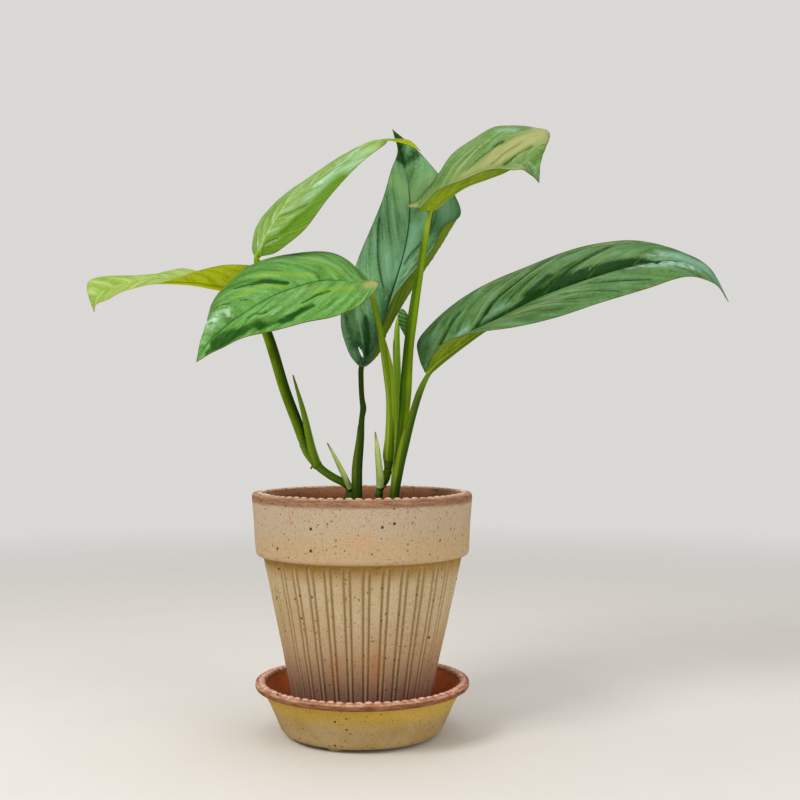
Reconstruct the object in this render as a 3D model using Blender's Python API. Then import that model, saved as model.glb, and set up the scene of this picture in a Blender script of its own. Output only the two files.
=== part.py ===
"""Potted monstera: a young plant with whole pointed leaves, in a fluted clay pot on its saucer.

The origin is on the pot's axis at the surface that the saucer stands on, +Z is up, and the
plant is seen from the front along +Y. Sizes are in millimetres and are turned into metres as
the meshes are made.
"""
import math

import bpy
from mathutils import Vector

MM = 0.001
GAP = 0.3

# Pot
RIM_RADIUS = 70.0
RIM_HEIGHT = 152.6
COLLAR_BOTTOM_RADIUS = 67.6
COLLAR_BOTTOM_HEIGHT = 115.0
POT_BOTTOM = 5.3
POT_FLOOR = 11.3
BODY_TOP_RADIUS = 62.8
BODY_TOP_HEIGHT = 112.6
BODY_BOTTOM_RADIUS = 40.9
DRAIN_RADIUS = 6.0
DRAIN_SIDES = 24
FLUTES = 33
FLUTE_DEPTH = 1.5
FLUTE_TURN = math.radians(-1.4)
BEADS = 72
BEAD_HEIGHT = 1.3
BEAD_RADIUS = 64.9
BEAD_SPREAD = 2.1

# Saucer
SAUCER_RADIUS = 68.2
SAUCER_UNDERSIDE = 1.8
SAUCER_FLOOR = 5.0
SAUCER_CENTRE_RADIUS = 20.0
SAUCER_BEAD_RADIUS = 63.9
LIP_TOP = 34.0
FEET = 3
FOOT_SIDES = 14
FOOT_RADIUS = 5.0
FOOT_CIRCLE = 42.0
FOOT_TURN = math.radians(-20.7)

# Profiles of the turned clay, as (radius, height) from the foot up, over the rim and down inside
WALL_SIDES = 54
COLLAR_PROFILE = ((64.0, 113.5), (66.3, 114.1), (COLLAR_BOTTOM_RADIUS, COLLAR_BOTTOM_HEIGHT + 1.0),
                  (69.5, 144.0), (RIM_RADIUS, 150.6), (RIM_RADIUS - 0.7, RIM_HEIGHT))
POT_INSIDE = ((62.0, 149.5), (60.2, 118.0), (54.8, 104.0), (37.4, 15.0), (34.6, POT_FLOOR))
SAUCER_WALL = ((46.5, 1.8), (49.6, 2.6), (51.6, 4.6), (53.4, 9.0), (57.9, 19.0), (62.9, 28.6))
SAUCER_LIP = ((67.0, 30.0), (SAUCER_RADIUS, 31.8), (SAUCER_RADIUS - 0.6, LIP_TOP - 0.2))
SAUCER_INSIDE = ((59.6, 29.0), (54.6, 19.5), (50.0, 9.6), (47.0, SAUCER_FLOOR))

# Each repeat of the flutes as (share of the repeat, depth): a broad rib, a groove, a narrow rib
FLUTE_SECTION = ((-0.24, 0.0), (0.24, 0.0), (0.34, 1.0), (0.43, 0.2), (0.57, 0.2), (0.66, 1.0))

# Soil, which stands clear of the pot's wall all round
SOIL_LEVEL = 140.0
SOIL_SIDE = ((34.2, POT_FLOOR + GAP), (36.9, 15.3), (54.3, 104.2), (59.7, 118.2), (60.9, SOIL_LEVEL))
SOIL_RINGS = ((55.0, 36), (42.0, 30), (28.0, 24), (14.0, 12))
CRUMB_HEIGHT = 0.9
HOLE_SIDES = 10

# Leaves
BLADE_THICKNESS = 0.9
BLADE_ROWS = 16
HALF_COLUMNS = (0.0, 0.28, 0.55, 0.8, 1.0)
VEIN_ARCH = 0.16
KEEL_DROP = 0.3


def clear_scene():
    for old in list(bpy.data.objects):
        bpy.data.objects.remove(old, do_unlink=True)


def material(name, colour, roughness):
    made = bpy.data.materials.new(name)
    made.use_nodes = True
    shader = made.node_tree.nodes["Principled BSDF"]
    shader.inputs["Base Color"].default_value = (*colour, 1.0)
    shader.inputs["Roughness"].default_value = roughness
    shader.inputs["Metallic"].default_value = 0.0
    return made


def add_solid(name, points, faces, finish=None, smooth_angle=40.0):
    """Adds one mesh object from points in millimetres."""
    mesh = bpy.data.meshes.new(name)
    mesh.from_pydata([tuple(c * MM for c in p) for p in points], [], faces)
    mesh.validate()
    mesh.shade_smooth()
    mesh.set_sharp_from_angle(angle=math.radians(smooth_angle))
    if finish is not None:
        mesh.materials.append(finish)
    made = bpy.data.objects.new(name, mesh)
    bpy.context.scene.collection.objects.link(made)
    return made


def bake_modifiers(target):
    """Replaces an object's mesh with its evaluated one."""
    bpy.context.view_layer.update()
    graph = bpy.context.evaluated_depsgraph_get()
    mesh = bpy.data.meshes.new_from_object(target.evaluated_get(graph))
    target.modifiers.clear()
    target.data = mesh


def combine(target, others, operation):
    """Joins others to the target, or cuts them from it, with one Boolean on a collection."""
    group = bpy.data.collections.new(target.name + "_tools")
    bpy.context.scene.collection.children.link(group)
    for other in others:
        bpy.context.scene.collection.objects.unlink(other)
        group.objects.link(other)
    boolean = target.modifiers.new("combine", "BOOLEAN")
    boolean.operation = operation
    boolean.solver = "EXACT"
    boolean.operand_type = "COLLECTION"
    boolean.collection = group
    bake_modifiers(target)
    for other in others:
        bpy.data.objects.remove(other, do_unlink=True)
    bpy.data.collections.remove(group)


# Turned bodies made of rings, which may have different numbers of points

def ring(radius, height, count, relief=None, turn=0.0):
    """Points round the axis, each with its angle. relief(angle) gives (outward, upward) shifts."""
    made = []
    for i in range(count):
        angle = turn + 2 * math.pi * i / count
        out, up = relief(angle) if relief else (0.0, 0.0)
        made.append((angle, radius + out, height + up))
    return made


def flute_angles():
    """Angles of the groove and rib edges, with a broad rib and a narrow one in each repeat."""
    repeat = 2 * math.pi / FLUTES
    made = []
    for i in range(FLUTES):
        for share, depth in FLUTE_SECTION:
            made.append((FLUTE_TURN + repeat * (i + share), depth))
    return made


def fluted_ring(radius, height, share=1.0):
    return [(angle, radius - depth * FLUTE_DEPTH * share, height) for angle, depth in flute_angles()]


def bead_relief(angle):
    """Raises two of three points in each bead, so that a valley lies between beads."""
    return 0.0, BEAD_HEIGHT * (1 - abs(math.cos(angle * BEADS / 2)) ** 1.5)


def bead_ring(radius, height, share):
    def relief(angle):
        out, up = bead_relief(angle)
        return out, up * share
    return ring(radius, height, 3 * BEADS, relief)


def stitch(lower, upper, first_lower, first_upper):
    """Triangles between two rings. Each ring's points run the same way round."""
    faces = []
    low, high = len(lower), len(upper)
    i = j = 0
    while i < low or j < high:
        next_low = lower[i + 1][0] if i + 1 < low else lower[0][0] + 2 * math.pi
        next_high = upper[j + 1][0] if j + 1 < high else upper[0][0] + 2 * math.pi
        here_low = first_lower + i % low
        here_high = first_upper + j % high
        if j >= high or (i < low and next_low <= next_high + 1e-9):
            faces.append((here_low, first_lower + (i + 1) % low, here_high))
            i += 1
        else:
            faces.append((here_low, first_upper + (j + 1) % high, here_high))
            j += 1
    return faces


def turned(name, rings, finish, ends_closed):
    """A solid from rings that run up its outside, over its top and down its inside.

    Without closed ends the last ring joins the first, as round a drain hole.
    """
    points, faces, starts = [], [], []
    for one in rings:
        starts.append(len(points))
        points += [(math.sin(a) * r, -math.cos(a) * r, z) for a, r, z in one]
    for k in range(len(rings) - 1):
        faces += stitch(rings[k], rings[k + 1], starts[k], starts[k + 1])
    if ends_closed:
        first, last = rings[0], rings[-1]
        faces.append([starts[0] + i for i in reversed(range(len(first)))])
        faces.append([starts[-1] + i for i in range(len(last))])
    else:
        faces += stitch(rings[-1], rings[0], starts[-1], starts[0])
    return add_solid(name, points, faces, finish, smooth_angle=30.0)


def body_radius(height):
    share = (height - POT_BOTTOM) / (BODY_TOP_HEIGHT - POT_BOTTOM)
    return BODY_BOTTOM_RADIUS + (BODY_TOP_RADIUS - BODY_BOTTOM_RADIUS) * share


def beads(radius, height):
    """The three rings that make a circle of beads on a rim: outer edge, crests, inner edge."""
    return [bead_ring(radius + BEAD_SPREAD, height - 0.1, 0.0), bead_ring(radius, height, 1.0),
            bead_ring(radius - BEAD_SPREAD, height - 1.0, 0.0)]


def make_pot(finish):
    foot_edge = ((BODY_BOTTOM_RADIUS - 0.4, 0.9, 0.6), (body_radius(POT_BOTTOM + 2.5), 2.5, 1.0))
    rings = [ring(DRAIN_RADIUS, POT_BOTTOM, DRAIN_SIDES, turn=FLUTE_TURN),
             ring(BODY_BOTTOM_RADIUS - 3.4, POT_BOTTOM, 2 * FLUTES, turn=FLUTE_TURN)]
    rings += [fluted_ring(radius, POT_BOTTOM + up, share) for radius, up, share in foot_edge]
    rings.append(fluted_ring(BODY_TOP_RADIUS, BODY_TOP_HEIGHT))
    rings += [ring(radius, height, BEADS) for radius, height in COLLAR_PROFILE]
    rings += beads(BEAD_RADIUS, RIM_HEIGHT + 0.1)
    rings += [ring(radius, height, WALL_SIDES) for radius, height in POT_INSIDE]
    rings.append(ring(DRAIN_RADIUS, POT_FLOOR, DRAIN_SIDES, turn=FLUTE_TURN))
    return turned("pot", rings, finish, ends_closed=False)


def make_foot(angle):
    """A small round pad under the saucer, standing flat on the surface."""
    x, y = math.sin(angle) * FOOT_CIRCLE, -math.cos(angle) * FOOT_CIRCLE
    points, faces = [], []
    for radius, height in ((FOOT_RADIUS - 0.6, 0.0), (FOOT_RADIUS, 0.6), (FOOT_RADIUS, 2.6)):
        for k in range(FOOT_SIDES):
            turn = 2 * math.pi * k / FOOT_SIDES
            points.append((x + radius * math.cos(turn), y + radius * math.sin(turn), height))
    faces.append(list(reversed(range(FOOT_SIDES))))
    faces.append(list(range(2 * FOOT_SIDES, 3 * FOOT_SIDES)))
    for level in (0, FOOT_SIDES):
        for k in range(FOOT_SIDES):
            a, b = level + k, level + (k + 1) % FOOT_SIDES
            faces.append((a, b, b + FOOT_SIDES, a + FOOT_SIDES))
    return add_solid("foot", points, faces)


def make_saucer(finish):
    rings = [ring(SAUCER_CENTRE_RADIUS, SAUCER_UNDERSIDE, 12)]
    rings += [ring(radius, height, WALL_SIDES) for radius, height in SAUCER_WALL]
    rings += [ring(radius, height, BEADS) for radius, height in SAUCER_LIP]
    rings += beads(SAUCER_BEAD_RADIUS, LIP_TOP)
    rings += [ring(radius, height, WALL_SIDES) for radius, height in SAUCER_INSIDE]
    saucer = turned("saucer", rings, finish, ends_closed=True)
    feet = [make_foot(FOOT_TURN + 2 * math.pi * i / FEET) for i in range(FEET)]
    combine(saucer, feet, "UNION")
    return saucer


# Smooth curves through hand-placed points, equally far apart in the curve's parameter

def curve_point(points, share):
    """A point on the smooth curve through points, from share 0 at its start to 1 at its end."""
    last = len(points) - 1
    place = min(max(share, 0.0), 1.0) * last
    k = min(int(place), last - 1)
    t = place - k
    before = points[k - 1] if k > 0 else [2 * a - b for a, b in zip(points[0], points[1])]
    after = points[k + 2] if k + 2 <= last else [2 * a - b for a, b in zip(points[last], points[last - 1])]
    made = []
    for p0, p1, p2, p3 in zip(before, points[k], points[k + 1], after):
        made.append(0.5 * (2 * p1 + (p2 - p0) * t + (2 * p0 - 5 * p1 + 4 * p2 - p3) * t * t
                           + (3 * p1 - p0 - 3 * p2 + p3) * t ** 3))
    return made


def tube(name, path, sides=7, rings=12):
    """A round tapered stem along a smooth path of (x, y, z, radius) points, with flat ends."""
    samples = [curve_point(path, i / rings) for i in range(rings + 1)]
    centres = [Vector(s[:3]) for s in samples]
    side = Vector((0, -1, 0))
    points, faces = [], []
    for i, centre in enumerate(centres):
        ahead = centres[min(i + 1, rings)] - centres[max(i - 1, 0)]
        ahead.normalize()
        side = (side - ahead * side.dot(ahead)).normalized()
        other = ahead.cross(side)
        for k in range(sides):
            turn = 2 * math.pi * k / sides
            points.append(centre + (side * math.cos(turn) + other * math.sin(turn)) * samples[i][3])
    for i in range(rings):
        for k in range(sides):
            after = (k + 1) % sides
            a, b = i * sides, (i + 1) * sides
            faces.append((a + k, a + after, b + after, b + k))
    faces.append(list(reversed(range(sides))))
    faces.append([rings * sides + k for k in range(sides)])
    return add_solid(name, points, faces)


# Leaf blades

def blade_point(leaf, along, across):
    """A point on a blade's middle surface. across runs from -1, left margin, to 1, right margin."""
    reach = abs(across)
    along = along + VEIN_ARCH * 2 * along * (1 - along) * reach ** 1.5
    middle = Vector(curve_point(leaf["midrib"], along))
    margin = Vector(curve_point(leaf["left" if across < 0 else "right"], along))
    if across > 0 and "fold" in leaf:
        fold = Vector(curve_point(leaf["fold"], along))
        return (middle * ((1 - reach) * (1 - 2 * reach)) + fold * (4 * reach * (1 - reach))
                + margin * (reach * (2 * reach - 1)))
    ahead = Vector(curve_point(leaf["midrib"], min(along + 0.02, 1.0)))
    ahead -= Vector(curve_point(leaf["midrib"], min(along + 0.02, 1.0) - 0.04))
    outward = margin - middle
    up = outward.cross(ahead) if across > 0 else ahead.cross(outward)
    if up.length > 1e-6:
        up.normalize()
    bulge = leaf["bulge"] * outward.length * 4 * reach * (1 - reach)
    return middle + outward * reach + up * bulge


def blade_mesh(leaf):
    """A closed blade, pleated along its side veins and split into triangles alike on both faces."""
    across = [-s for s in reversed(HALF_COLUMNS[1:])] + list(HALF_COLUMNS)
    columns = len(across)
    middle = [blade_point(leaf, i / BLADE_ROWS, v) for i in range(BLADE_ROWS) for v in across]
    tip = len(middle)
    middle.append(blade_point(leaf, 1.0, 0.0))
    triangles = []
    for i in range(BLADE_ROWS - 1):
        for j in range(columns - 1):
            a = i * columns + j
            b, c, d = a + 1, a + columns + 1, a + columns
            triangles += [(a, b, c), (a, c, d)]
    for j in range(columns - 1):
        a = (BLADE_ROWS - 1) * columns + j
        triangles.append((a, a + 1, tip))
    normals = vertex_normals(middle, triangles)
    for i in range(1, BLADE_ROWS):
        for j, v in enumerate(across):
            share = math.sin(math.pi * min(1.0, abs(v) * 1.15)) if abs(v) < 0.87 else 0.35
            fade = min(1.0, 3.0 * (1 - i / BLADE_ROWS))
            middle[i * columns + j] += normals[i * columns + j] * (
                leaf["pleat"] * share * fade * (1 if i % 2 else -1))
    normals = vertex_normals(middle, triangles)
    half = BLADE_THICKNESS / 2
    points = [p + n * half for p, n in zip(middle, normals)]
    points += [p - n * half for p, n in zip(middle, normals)]
    under = len(middle)
    faces = list(triangles)
    faces += [(a + under, c + under, b + under) for a, b, c in triangles]
    edge = [j for j in range(columns)]
    edge += [i * columns + columns - 1 for i in range(1, BLADE_ROWS)] + [tip]
    edge += [i * columns for i in reversed(range(1, BLADE_ROWS))]
    for k, a in enumerate(edge):
        b = edge[(k + 1) % len(edge)]
        faces += [(a, a + under, b + under), (a, b + under, b)]
    return points, faces


def vertex_normals(points, triangles):
    normals = [Vector((0, 0, 0)) for _ in points]
    for a, b, c in triangles:
        normal = (points[b] - points[a]).cross(points[c] - points[a])
        for k in (a, b, c):
            normals[k] += normal
    return [n.normalized() for n in normals]


def keel_path(leaf, start_radius, shares=(0.0, 0.12, 0.26, 0.42, 0.6)):
    """The midrib's thick underside, from the top of the leaf's stalk along the blade."""
    made = []
    for share in shares:
        middle = blade_point(leaf, share, 0.0)
        ahead = blade_point(leaf, share + 0.02, 0.0) - middle
        spread = (Vector(curve_point(leaf["right"], share)) - Vector(curve_point(leaf["left"], share)))
        up = spread.cross(ahead).normalized()
        radius = start_radius * (1 - share) + 0.3 * share
        made.append((*(middle - up * (KEEL_DROP + 0.4 * radius)), radius))
    return made


def make_leaf(name, finish):
    leaf = LEAVES[name]
    points, faces = blade_mesh(leaf)
    blade = add_solid(name, points, faces, finish)
    stalks = []
    for i, stalk in enumerate(leaf["stalks"]):
        path = list(stalk)
        if i == 0:
            path += keel_path(leaf, leaf["neck"])
        stalks.append(tube(name + "_stalk", path, rings=2 * len(path)))
    combine(blade, stalks, "UNION")
    return blade


LEAVES = {
    "leaf_far_left": {
        "left": [(-63, 2, 294), (-72, -1, 297), (-86, -5, 297), (-99, -9, 293), (-111, -12, 289),
                 (-124, -14, 285),
                 (-136, -13, 283), (-149, -11, 279), (-160, -7, 275), (-169, -2, 272), (-171, 0, 267)],
        "midrib": [(-76, 12, 287), (-82, 11, 285), (-92, 10, 285), (-104, 9, 287), (-116, 8, 288),
                   (-129, 7, 288),
                   (-140, 6, 287), (-152, 5, 286), (-162, 4, 283), (-170, 2, 278), (-171, 0, 267)],
        "right": [(-66, 22, 293), (-78, 26, 296), (-92, 30, 297), (-106, 31, 298), (-118, 30, 298),
                  (-131, 27, 296),
                  (-144, 23, 294), (-158, 18, 293), (-172, 13, 291), (-178, 8, 285), (-171, 0, 267)],
        "bulge": 0.08, "pleat": 0.35, "neck": 1.7,
        "stalks": [[(-62.5, 7.5, 256, 1.8), (-68, 10, 268, 1.8), (-72.5, 12, 279, 1.7)],
                   [(-38.1, 2, 186.3, 3.3), (-41.5, 2.5, 196, 3.4), (-50, 5, 218, 3.4),
                    (-58, 7, 244, 3.4),
                    (-63.5, 8, 260, 3.1), (-66, 9, 270, 2.7), (-66, 9, 275, 2.5)]],
    },
    "leaf_front_left": {
        "left": [(11, -26, 284), (9, -34, 276), (-1, -42, 267), (-17, -47, 260), (-35, -51, 256),
                 (-54, -54, 251),
                 (-70, -55, 246), (-83, -54, 241), (-92, -52, 236), (-97, -50, 233)],
        "midrib": [(2, -18, 284), (-6, -20, 284), (-15, -22, 285), (-27, -25, 284), (-40, -28, 280),
                   (-54, -32, 274),
                   (-68, -36, 265), (-81, -40, 255), (-91, -45, 244), (-97, -50, 233)],
        "right": [(5, -6, 284), (0, 2, 293), (-9, 4, 301), (-23, 4, 305), (-40, 1, 305), (-61, -4, 299),
                  (-79, -12, 289), (-91, -24, 273), (-95, -38, 254), (-97, -50, 233)],
        "bulge": 0.08, "pleat": 0.55, "neck": 1.5,
        "stalks": [[(16.5, 0, 172.8, 3.0), (16.6, 0, 177, 3.3), (17.5, -1, 190, 2.7),
                    (17.5, -4, 211, 2.1),
                    (15.5, -8, 230, 2.1), (12.7, -13, 249, 1.9), (10, -16, 262, 1.7),
                    (7, -18, 274, 1.6)],
                   [(18.5, 0, 186, 1.8), (19.5, -4, 211, 2.0), (18.5, -8, 228, 1.6),
                    (16.3, -12, 241, 0.9),
                    (14, -13, 250, 0.4)]],
    },
    "leaf_upper_left": {
        "left": [(-72, 12, 305), (-73, 20, 316), (-71, 27, 325), (-64.5, 30, 336), (-53.5, 30, 347.5),
                 (-37.5, 27, 357.5),
                 (-20, 21, 367.5), (-3, 13, 375), (10, 5, 377.3), (25, 0, 375), (37, -8, 368)],
        "midrib": [(-67, 8, 303), (-66, 8, 310), (-62, 7, 317), (-56, 6, 327), (-47, 4, 339),
                   (-34, 3, 348),
                   (-20, 1, 359), (-4, -2, 370), (11, -4, 376), (26, -6, 375), (37, -8, 368)],
        "right": [(-64, 2, 303), (-55, -6, 304), (-47, -12, 308), (-35, -16, 318), (-21, -19, 336),
                  (-8, -20, 350),
                  (4, -18, 362), (14, -13, 371), (18, -12, 373), (29, -12, 374), (37, -8, 368)],
        "bulge": 0.05, "pleat": 0.5, "neck": 1.4,
        "stalks": [[(-66, 9, 275.3, 1.9), (-66, 9, 280, 1.9), (-67, 9, 288, 1.8),
                    (-67.5, 9, 296, 1.7)]],
    },
    "leaf_back": {
        "left": [(-4, 12, 233), (-10, 8, 244), (-14, 7, 259), (-13, 8, 275), (-7, 11, 292),
                 (-1, 14, 309), (6, 17, 326),
                 (13, 19, 344), (18, 21, 362), (22, 20, 374), (19, 17, 388)],
        "midrib": [(-1, 14, 233), (3, 15, 239), (8, 17, 247), (13, 19, 261), (17, 21, 276),
                   (22, 23, 292),
                   (27, 25, 310), (30, 26, 329), (30, 26, 348), (26, 24, 370), (19, 17, 388)],
        "fold": [(2, 11, 233), (11, 12, 243), (17, 14, 258), (30, 17, 282), (44, 20, 304),
                 (55, 23, 322),
                 (54, 26, 329), (45, 27, 340), (40, 26, 357), (31, 23, 372), (19, 17, 388)],
        "right": [(3, 8, 235), (9, 6, 245), (14, 7, 263), (23, 8, 282), (43, 11, 306), (52, 14, 324),
                  (63, 20, 333),
                  (59, 24, 348), (48, 25, 362), (36, 23, 375), (19, 17, 388)],
        "bulge": 0.06, "pleat": 0.4, "neck": 1.7,
        "stalks": [[(-3.2, -3.6, 124, 3.0), (-3.2, -3.6, 138, 3.1), (-3.2, -3, 152, 3.2),
                    (-3.2, -1, 168, 3.2),
                    (-1.4, 2, 186, 2.4), (-0.6, 5, 199, 1.8), (0.3, 6, 206, 2.0), (-0.6, 7, 213, 1.7),
                    (-1.2, 10, 223, 1.7)]],
    },
    "leaf_right": {
        "left": [(35, 0, 239), (36, 10, 251), (50, 16, 267), (71, 20, 282), (97, 22, 296),
                 (126, 22, 307),
                 (155, 19, 313), (180, 14, 314), (206, 6, 307), (221, -2, 294), (231, -8, 273)],
        "midrib": [(40, -6, 228.5), (46.5, -8, 235), (58.5, -10, 245.5), (72.5, -12, 257.5),
                   (90, -14, 267.5), (114, -15, 276),
                   (141, -15, 287), (170, -13, 296), (200, -11, 298), (220, -9, 289), (231, -8, 273)],
        "right": [(41, -12, 231), (44, -22, 238), (54, -30, 247), (71, -38, 251), (92, -41, 254),
                  (118, -41, 261),
                  (145, -38, 270), (175, -31, 279), (202, -22, 287), (220, -14, 284), (231, -8, 273)],
        "bulge": 0.08, "pleat": 0.6, "neck": 1.4,
        "stalks": [[(19.5, -9, 124, 2.9), (19.5, -9, 138, 2.9), (20.6, -9, 152, 2.9),
                    (23.3, -9, 168, 3.0),
                    (27, -9, 184, 2.9), (31.3, -8.5, 200, 2.4), (36.3, -7.5, 216, 2.1)]],
    },
    "leaf_upper_right": {
        "left": [(28, 6, 335), (36, 16, 343), (48, 22, 359), (58, 26, 373), (71, 27, 383),
                 (85, 26, 392),
                 (98, 23, 392), (112, 18, 389), (120, 10, 383), (113, -2, 365), (111, -12, 347)],
        "midrib": [(42, -2, 331.5), (47, -3, 335.7), (54, -4, 341), (64, -5, 347.2), (76, -6, 351.4),
                   (86, -7, 354.5),
                   (94, -8, 358), (102, -9, 360), (107, -10, 358), (110, -11, 352), (111, -12, 347)],
        "right": [(34, -9, 329), (39, -17, 333), (47, -23, 340), (58, -27, 345), (69, -29, 348),
                  (81, -29, 351),
                  (92, -26, 353), (99, -21, 354), (104, -16, 352), (108, -13, 350), (111, -12, 347)],
        "bulge": 0.08, "pleat": 0.55, "neck": 1.2,
        "stalks": [[(20.5, 1, 124, 2.4), (20.5, 1, 138, 2.4), (21.3, 1, 154, 2.4), (23.8, 1, 178, 2.5),
                    (25.7, 1, 194, 2.9), (26.9, 1, 205, 3.2), (27.7, 0.5, 218, 3.6),
                    (29.4, 0, 243, 3.1),
                    (31.8, -1, 262, 3.0), (34.3, -1, 279, 2.7), (37, -2, 295, 2.2),
                    (40, -2, 314, 2.0)]],
    },
}

STEMS = {
    "stem_left": [
        [(-6.8, 6, 124, 3.6), (-6.8, 6, 140, 4.8), (-6.8, 6, 148, 5.2), (-6.8, 5.6, 153.5, 3.4),
         (-6.5, 5, 157.5, 1.6)],
        [(-6.8, 5.2, 151, 2.3), (-9, 3.5, 156, 2.6), (-12.5, 2.5, 158.7, 2.5), (-18.6, 2, 161.8, 2.5),
         (-25.4, 2, 166.4, 2.5), (-30, 2, 171, 2.9), (-35.3, 2, 178.4, 3.1), (-38, 2, 186, 3.2)],
        [(-8, 1.8, 155, 1.9), (-12, -1, 164, 1.8), (-17.3, -4, 175, 1.2), (-22, -6, 184, 0.4)],
        [(-29.5, 1.5, 171, 2.8), (-32.5, -0.5, 181, 2.6), (-37, -2, 202, 1.8), (-42, -3, 220, 0.9),
         (-44, -3, 227, 0.4)],
        [(-30, 1.5, 172, 1.2), (-33, 0.5, 167.5, 0.5)],
    ],
    "stem_middle": [
        [(10.6, -2, 124, 2.3), (10.6, -2, 138, 2.3), (10.6, -2, 151, 2.3), (12, -1.5, 156.5, 2.3),
         (15, -0.5, 161, 2.3),
         (16.2, 0, 168, 2.5), (16.5, 0, 172.5, 3.1)],
        [(11.3, -3, 156, 2.4), (11, -5.5, 165, 2.3), (9.6, -7.5, 180, 1.6), (8.3, -8, 191, 0.4)],
        [(12, -3, 156, 1.0), (15.5, -4.5, 156.5, 0.5)],
    ],
}


def make_stem(name, finish):
    parts = [tube(name if i == 0 else name + "_shoot", path, rings=2 * len(path))
             for i, path in enumerate(STEMS[name])]
    parts[0].data.materials.append(finish)
    combine(parts[0], parts[1:], "UNION")
    return parts[0]


YOUNG_STALK = [(20, 9.5, 124, 2.3), (20, 9.5, 138, 2.3), (20.6, 9.5, 160, 2.3), (22.3, 9.5, 192, 2.4),
               (22, 9.5, 228, 2.5), (21.8, 9, 250, 2.0), (22.5, 8.8, 262, 1.3), (24.3, 8.7, 267, 1.0)]
YOUNG_TOP = Vector((25.0, 8.7, 270.0))
YOUNG_TIP = Vector((28.0, 8.5, 251.0))
YOUNG_PROFILE = (0.25, 0.75, 0.98, 1.0, 0.93, 0.78, 0.55, 0.28, 0.1)
YOUNG_RADIUS = 3.3
YOUNG_SIDES = 16


def make_young_leaf(finish):
    """The youngest leaf, still rolled up, with its pleats running slantwise round the roll."""
    axis = YOUNG_TIP - YOUNG_TOP
    ahead = axis.normalized()
    side = (Vector((0, -1, 0)) - ahead * ahead.dot(Vector((0, -1, 0)))).normalized()
    other = ahead.cross(side)
    points, faces = [], []
    rings = len(YOUNG_PROFILE)
    for i, share in enumerate(YOUNG_PROFILE):
        centre = YOUNG_TOP + axis * (i / (rings - 1))
        for k in range(YOUNG_SIDES):
            turn = 2 * math.pi * k / YOUNG_SIDES
            radius = YOUNG_RADIUS * share * (1 + 0.06 * (-1) ** (k + i))
            points.append(centre + (side * math.cos(turn) + other * math.sin(turn)) * radius)
    for i in range(rings - 1):
        for k in range(YOUNG_SIDES):
            after = (k + 1) % YOUNG_SIDES
            a, b = i * YOUNG_SIDES, (i + 1) * YOUNG_SIDES
            faces.append((a + k, a + after, b + after, b + k))
    faces.append(list(reversed(range(YOUNG_SIDES))))
    faces.append([(rings - 1) * YOUNG_SIDES + k for k in range(YOUNG_SIDES)])
    leaf = add_solid("leaf_young", points, faces, finish)
    combine(leaf, [tube("young_stalk", YOUNG_STALK, rings=18)], "UNION")
    return leaf


def soil_height(x, y):
    """The soil's top, with low crumbs and hollows."""
    wave = math.sin(x * 0.33 + 1.1) * math.cos(y * 0.29 - 0.4) + 0.6 * math.sin(x * 0.71 - y * 0.53)
    return SOIL_LEVEL + CRUMB_HEIGHT * wave


def make_soil(finish):
    rings = [ring(radius, height, WALL_SIDES) for radius, height in SOIL_SIDE]
    for radius, count in SOIL_RINGS:
        level = ring(radius, SOIL_LEVEL, count)
        rings.append([(a, r, soil_height(math.sin(a) * r, -math.cos(a) * r)) for a, r, _ in level])
    soil = turned("soil", rings, finish, ends_closed=True)
    rooted = [LEAVES[n]["stalks"][0] for n in ("leaf_back", "leaf_right", "leaf_upper_right")]
    rooted += [STEMS["stem_left"][0], STEMS["stem_middle"][0], YOUNG_STALK]
    holes = []
    for path in rooted:
        x, y, bottom, low = path[0]
        _, _, top, high = path[1]
        wider = 1 / math.cos(math.pi / HOLE_SIDES)
        around = (high + GAP) * wider
        hole = [(x, y, bottom - GAP, (low + GAP) * wider), (x, y, top, around),
                (x, y, 2 * top - bottom, around)]
        holes.append(tube("hole", hole, sides=HOLE_SIDES, rings=2))
    combine(soil, holes, "DIFFERENCE")
    return soil


def main():
    clear_scene()
    clay = material("clay", (0.62, 0.44, 0.30), 0.85)
    saucer_clay = material("saucer_clay", (0.60, 0.36, 0.22), 0.85)
    earth = material("soil", (0.05, 0.03, 0.02), 0.95)
    deep_green = material("leaf_dark", (0.07, 0.22, 0.08), 0.4)
    mid_green = material("leaf_mid", (0.12, 0.34, 0.08), 0.4)
    pale_green = material("leaf_pale", (0.30, 0.48, 0.12), 0.45)
    stem_green = material("stem", (0.08, 0.20, 0.04), 0.45)
    make_saucer(saucer_clay)
    make_pot(clay)
    make_soil(earth)
    make_stem("stem_left", stem_green)
    make_stem("stem_middle", stem_green)
    make_leaf("leaf_far_left", pale_green)
    make_leaf("leaf_front_left", mid_green)
    make_leaf("leaf_upper_left", pale_green)
    make_leaf("leaf_back", deep_green)
    make_leaf("leaf_right", deep_green)
    make_leaf("leaf_upper_right", mid_green)
    make_young_leaf(mid_green)


main()
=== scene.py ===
import math

import bmesh
import bpy
import numpy as np
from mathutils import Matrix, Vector


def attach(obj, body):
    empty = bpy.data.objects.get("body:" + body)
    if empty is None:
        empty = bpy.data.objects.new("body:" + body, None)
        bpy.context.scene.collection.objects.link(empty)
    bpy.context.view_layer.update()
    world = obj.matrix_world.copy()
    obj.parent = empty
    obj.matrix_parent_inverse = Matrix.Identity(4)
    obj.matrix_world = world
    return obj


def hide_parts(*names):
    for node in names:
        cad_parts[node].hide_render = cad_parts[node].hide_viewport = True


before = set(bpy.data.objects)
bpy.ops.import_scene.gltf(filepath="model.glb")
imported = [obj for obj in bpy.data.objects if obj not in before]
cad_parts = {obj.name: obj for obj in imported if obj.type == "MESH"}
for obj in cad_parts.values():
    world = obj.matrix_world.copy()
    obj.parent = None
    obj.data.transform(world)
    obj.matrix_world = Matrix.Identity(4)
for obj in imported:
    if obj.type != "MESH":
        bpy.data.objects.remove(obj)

MM = 0.001
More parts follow.
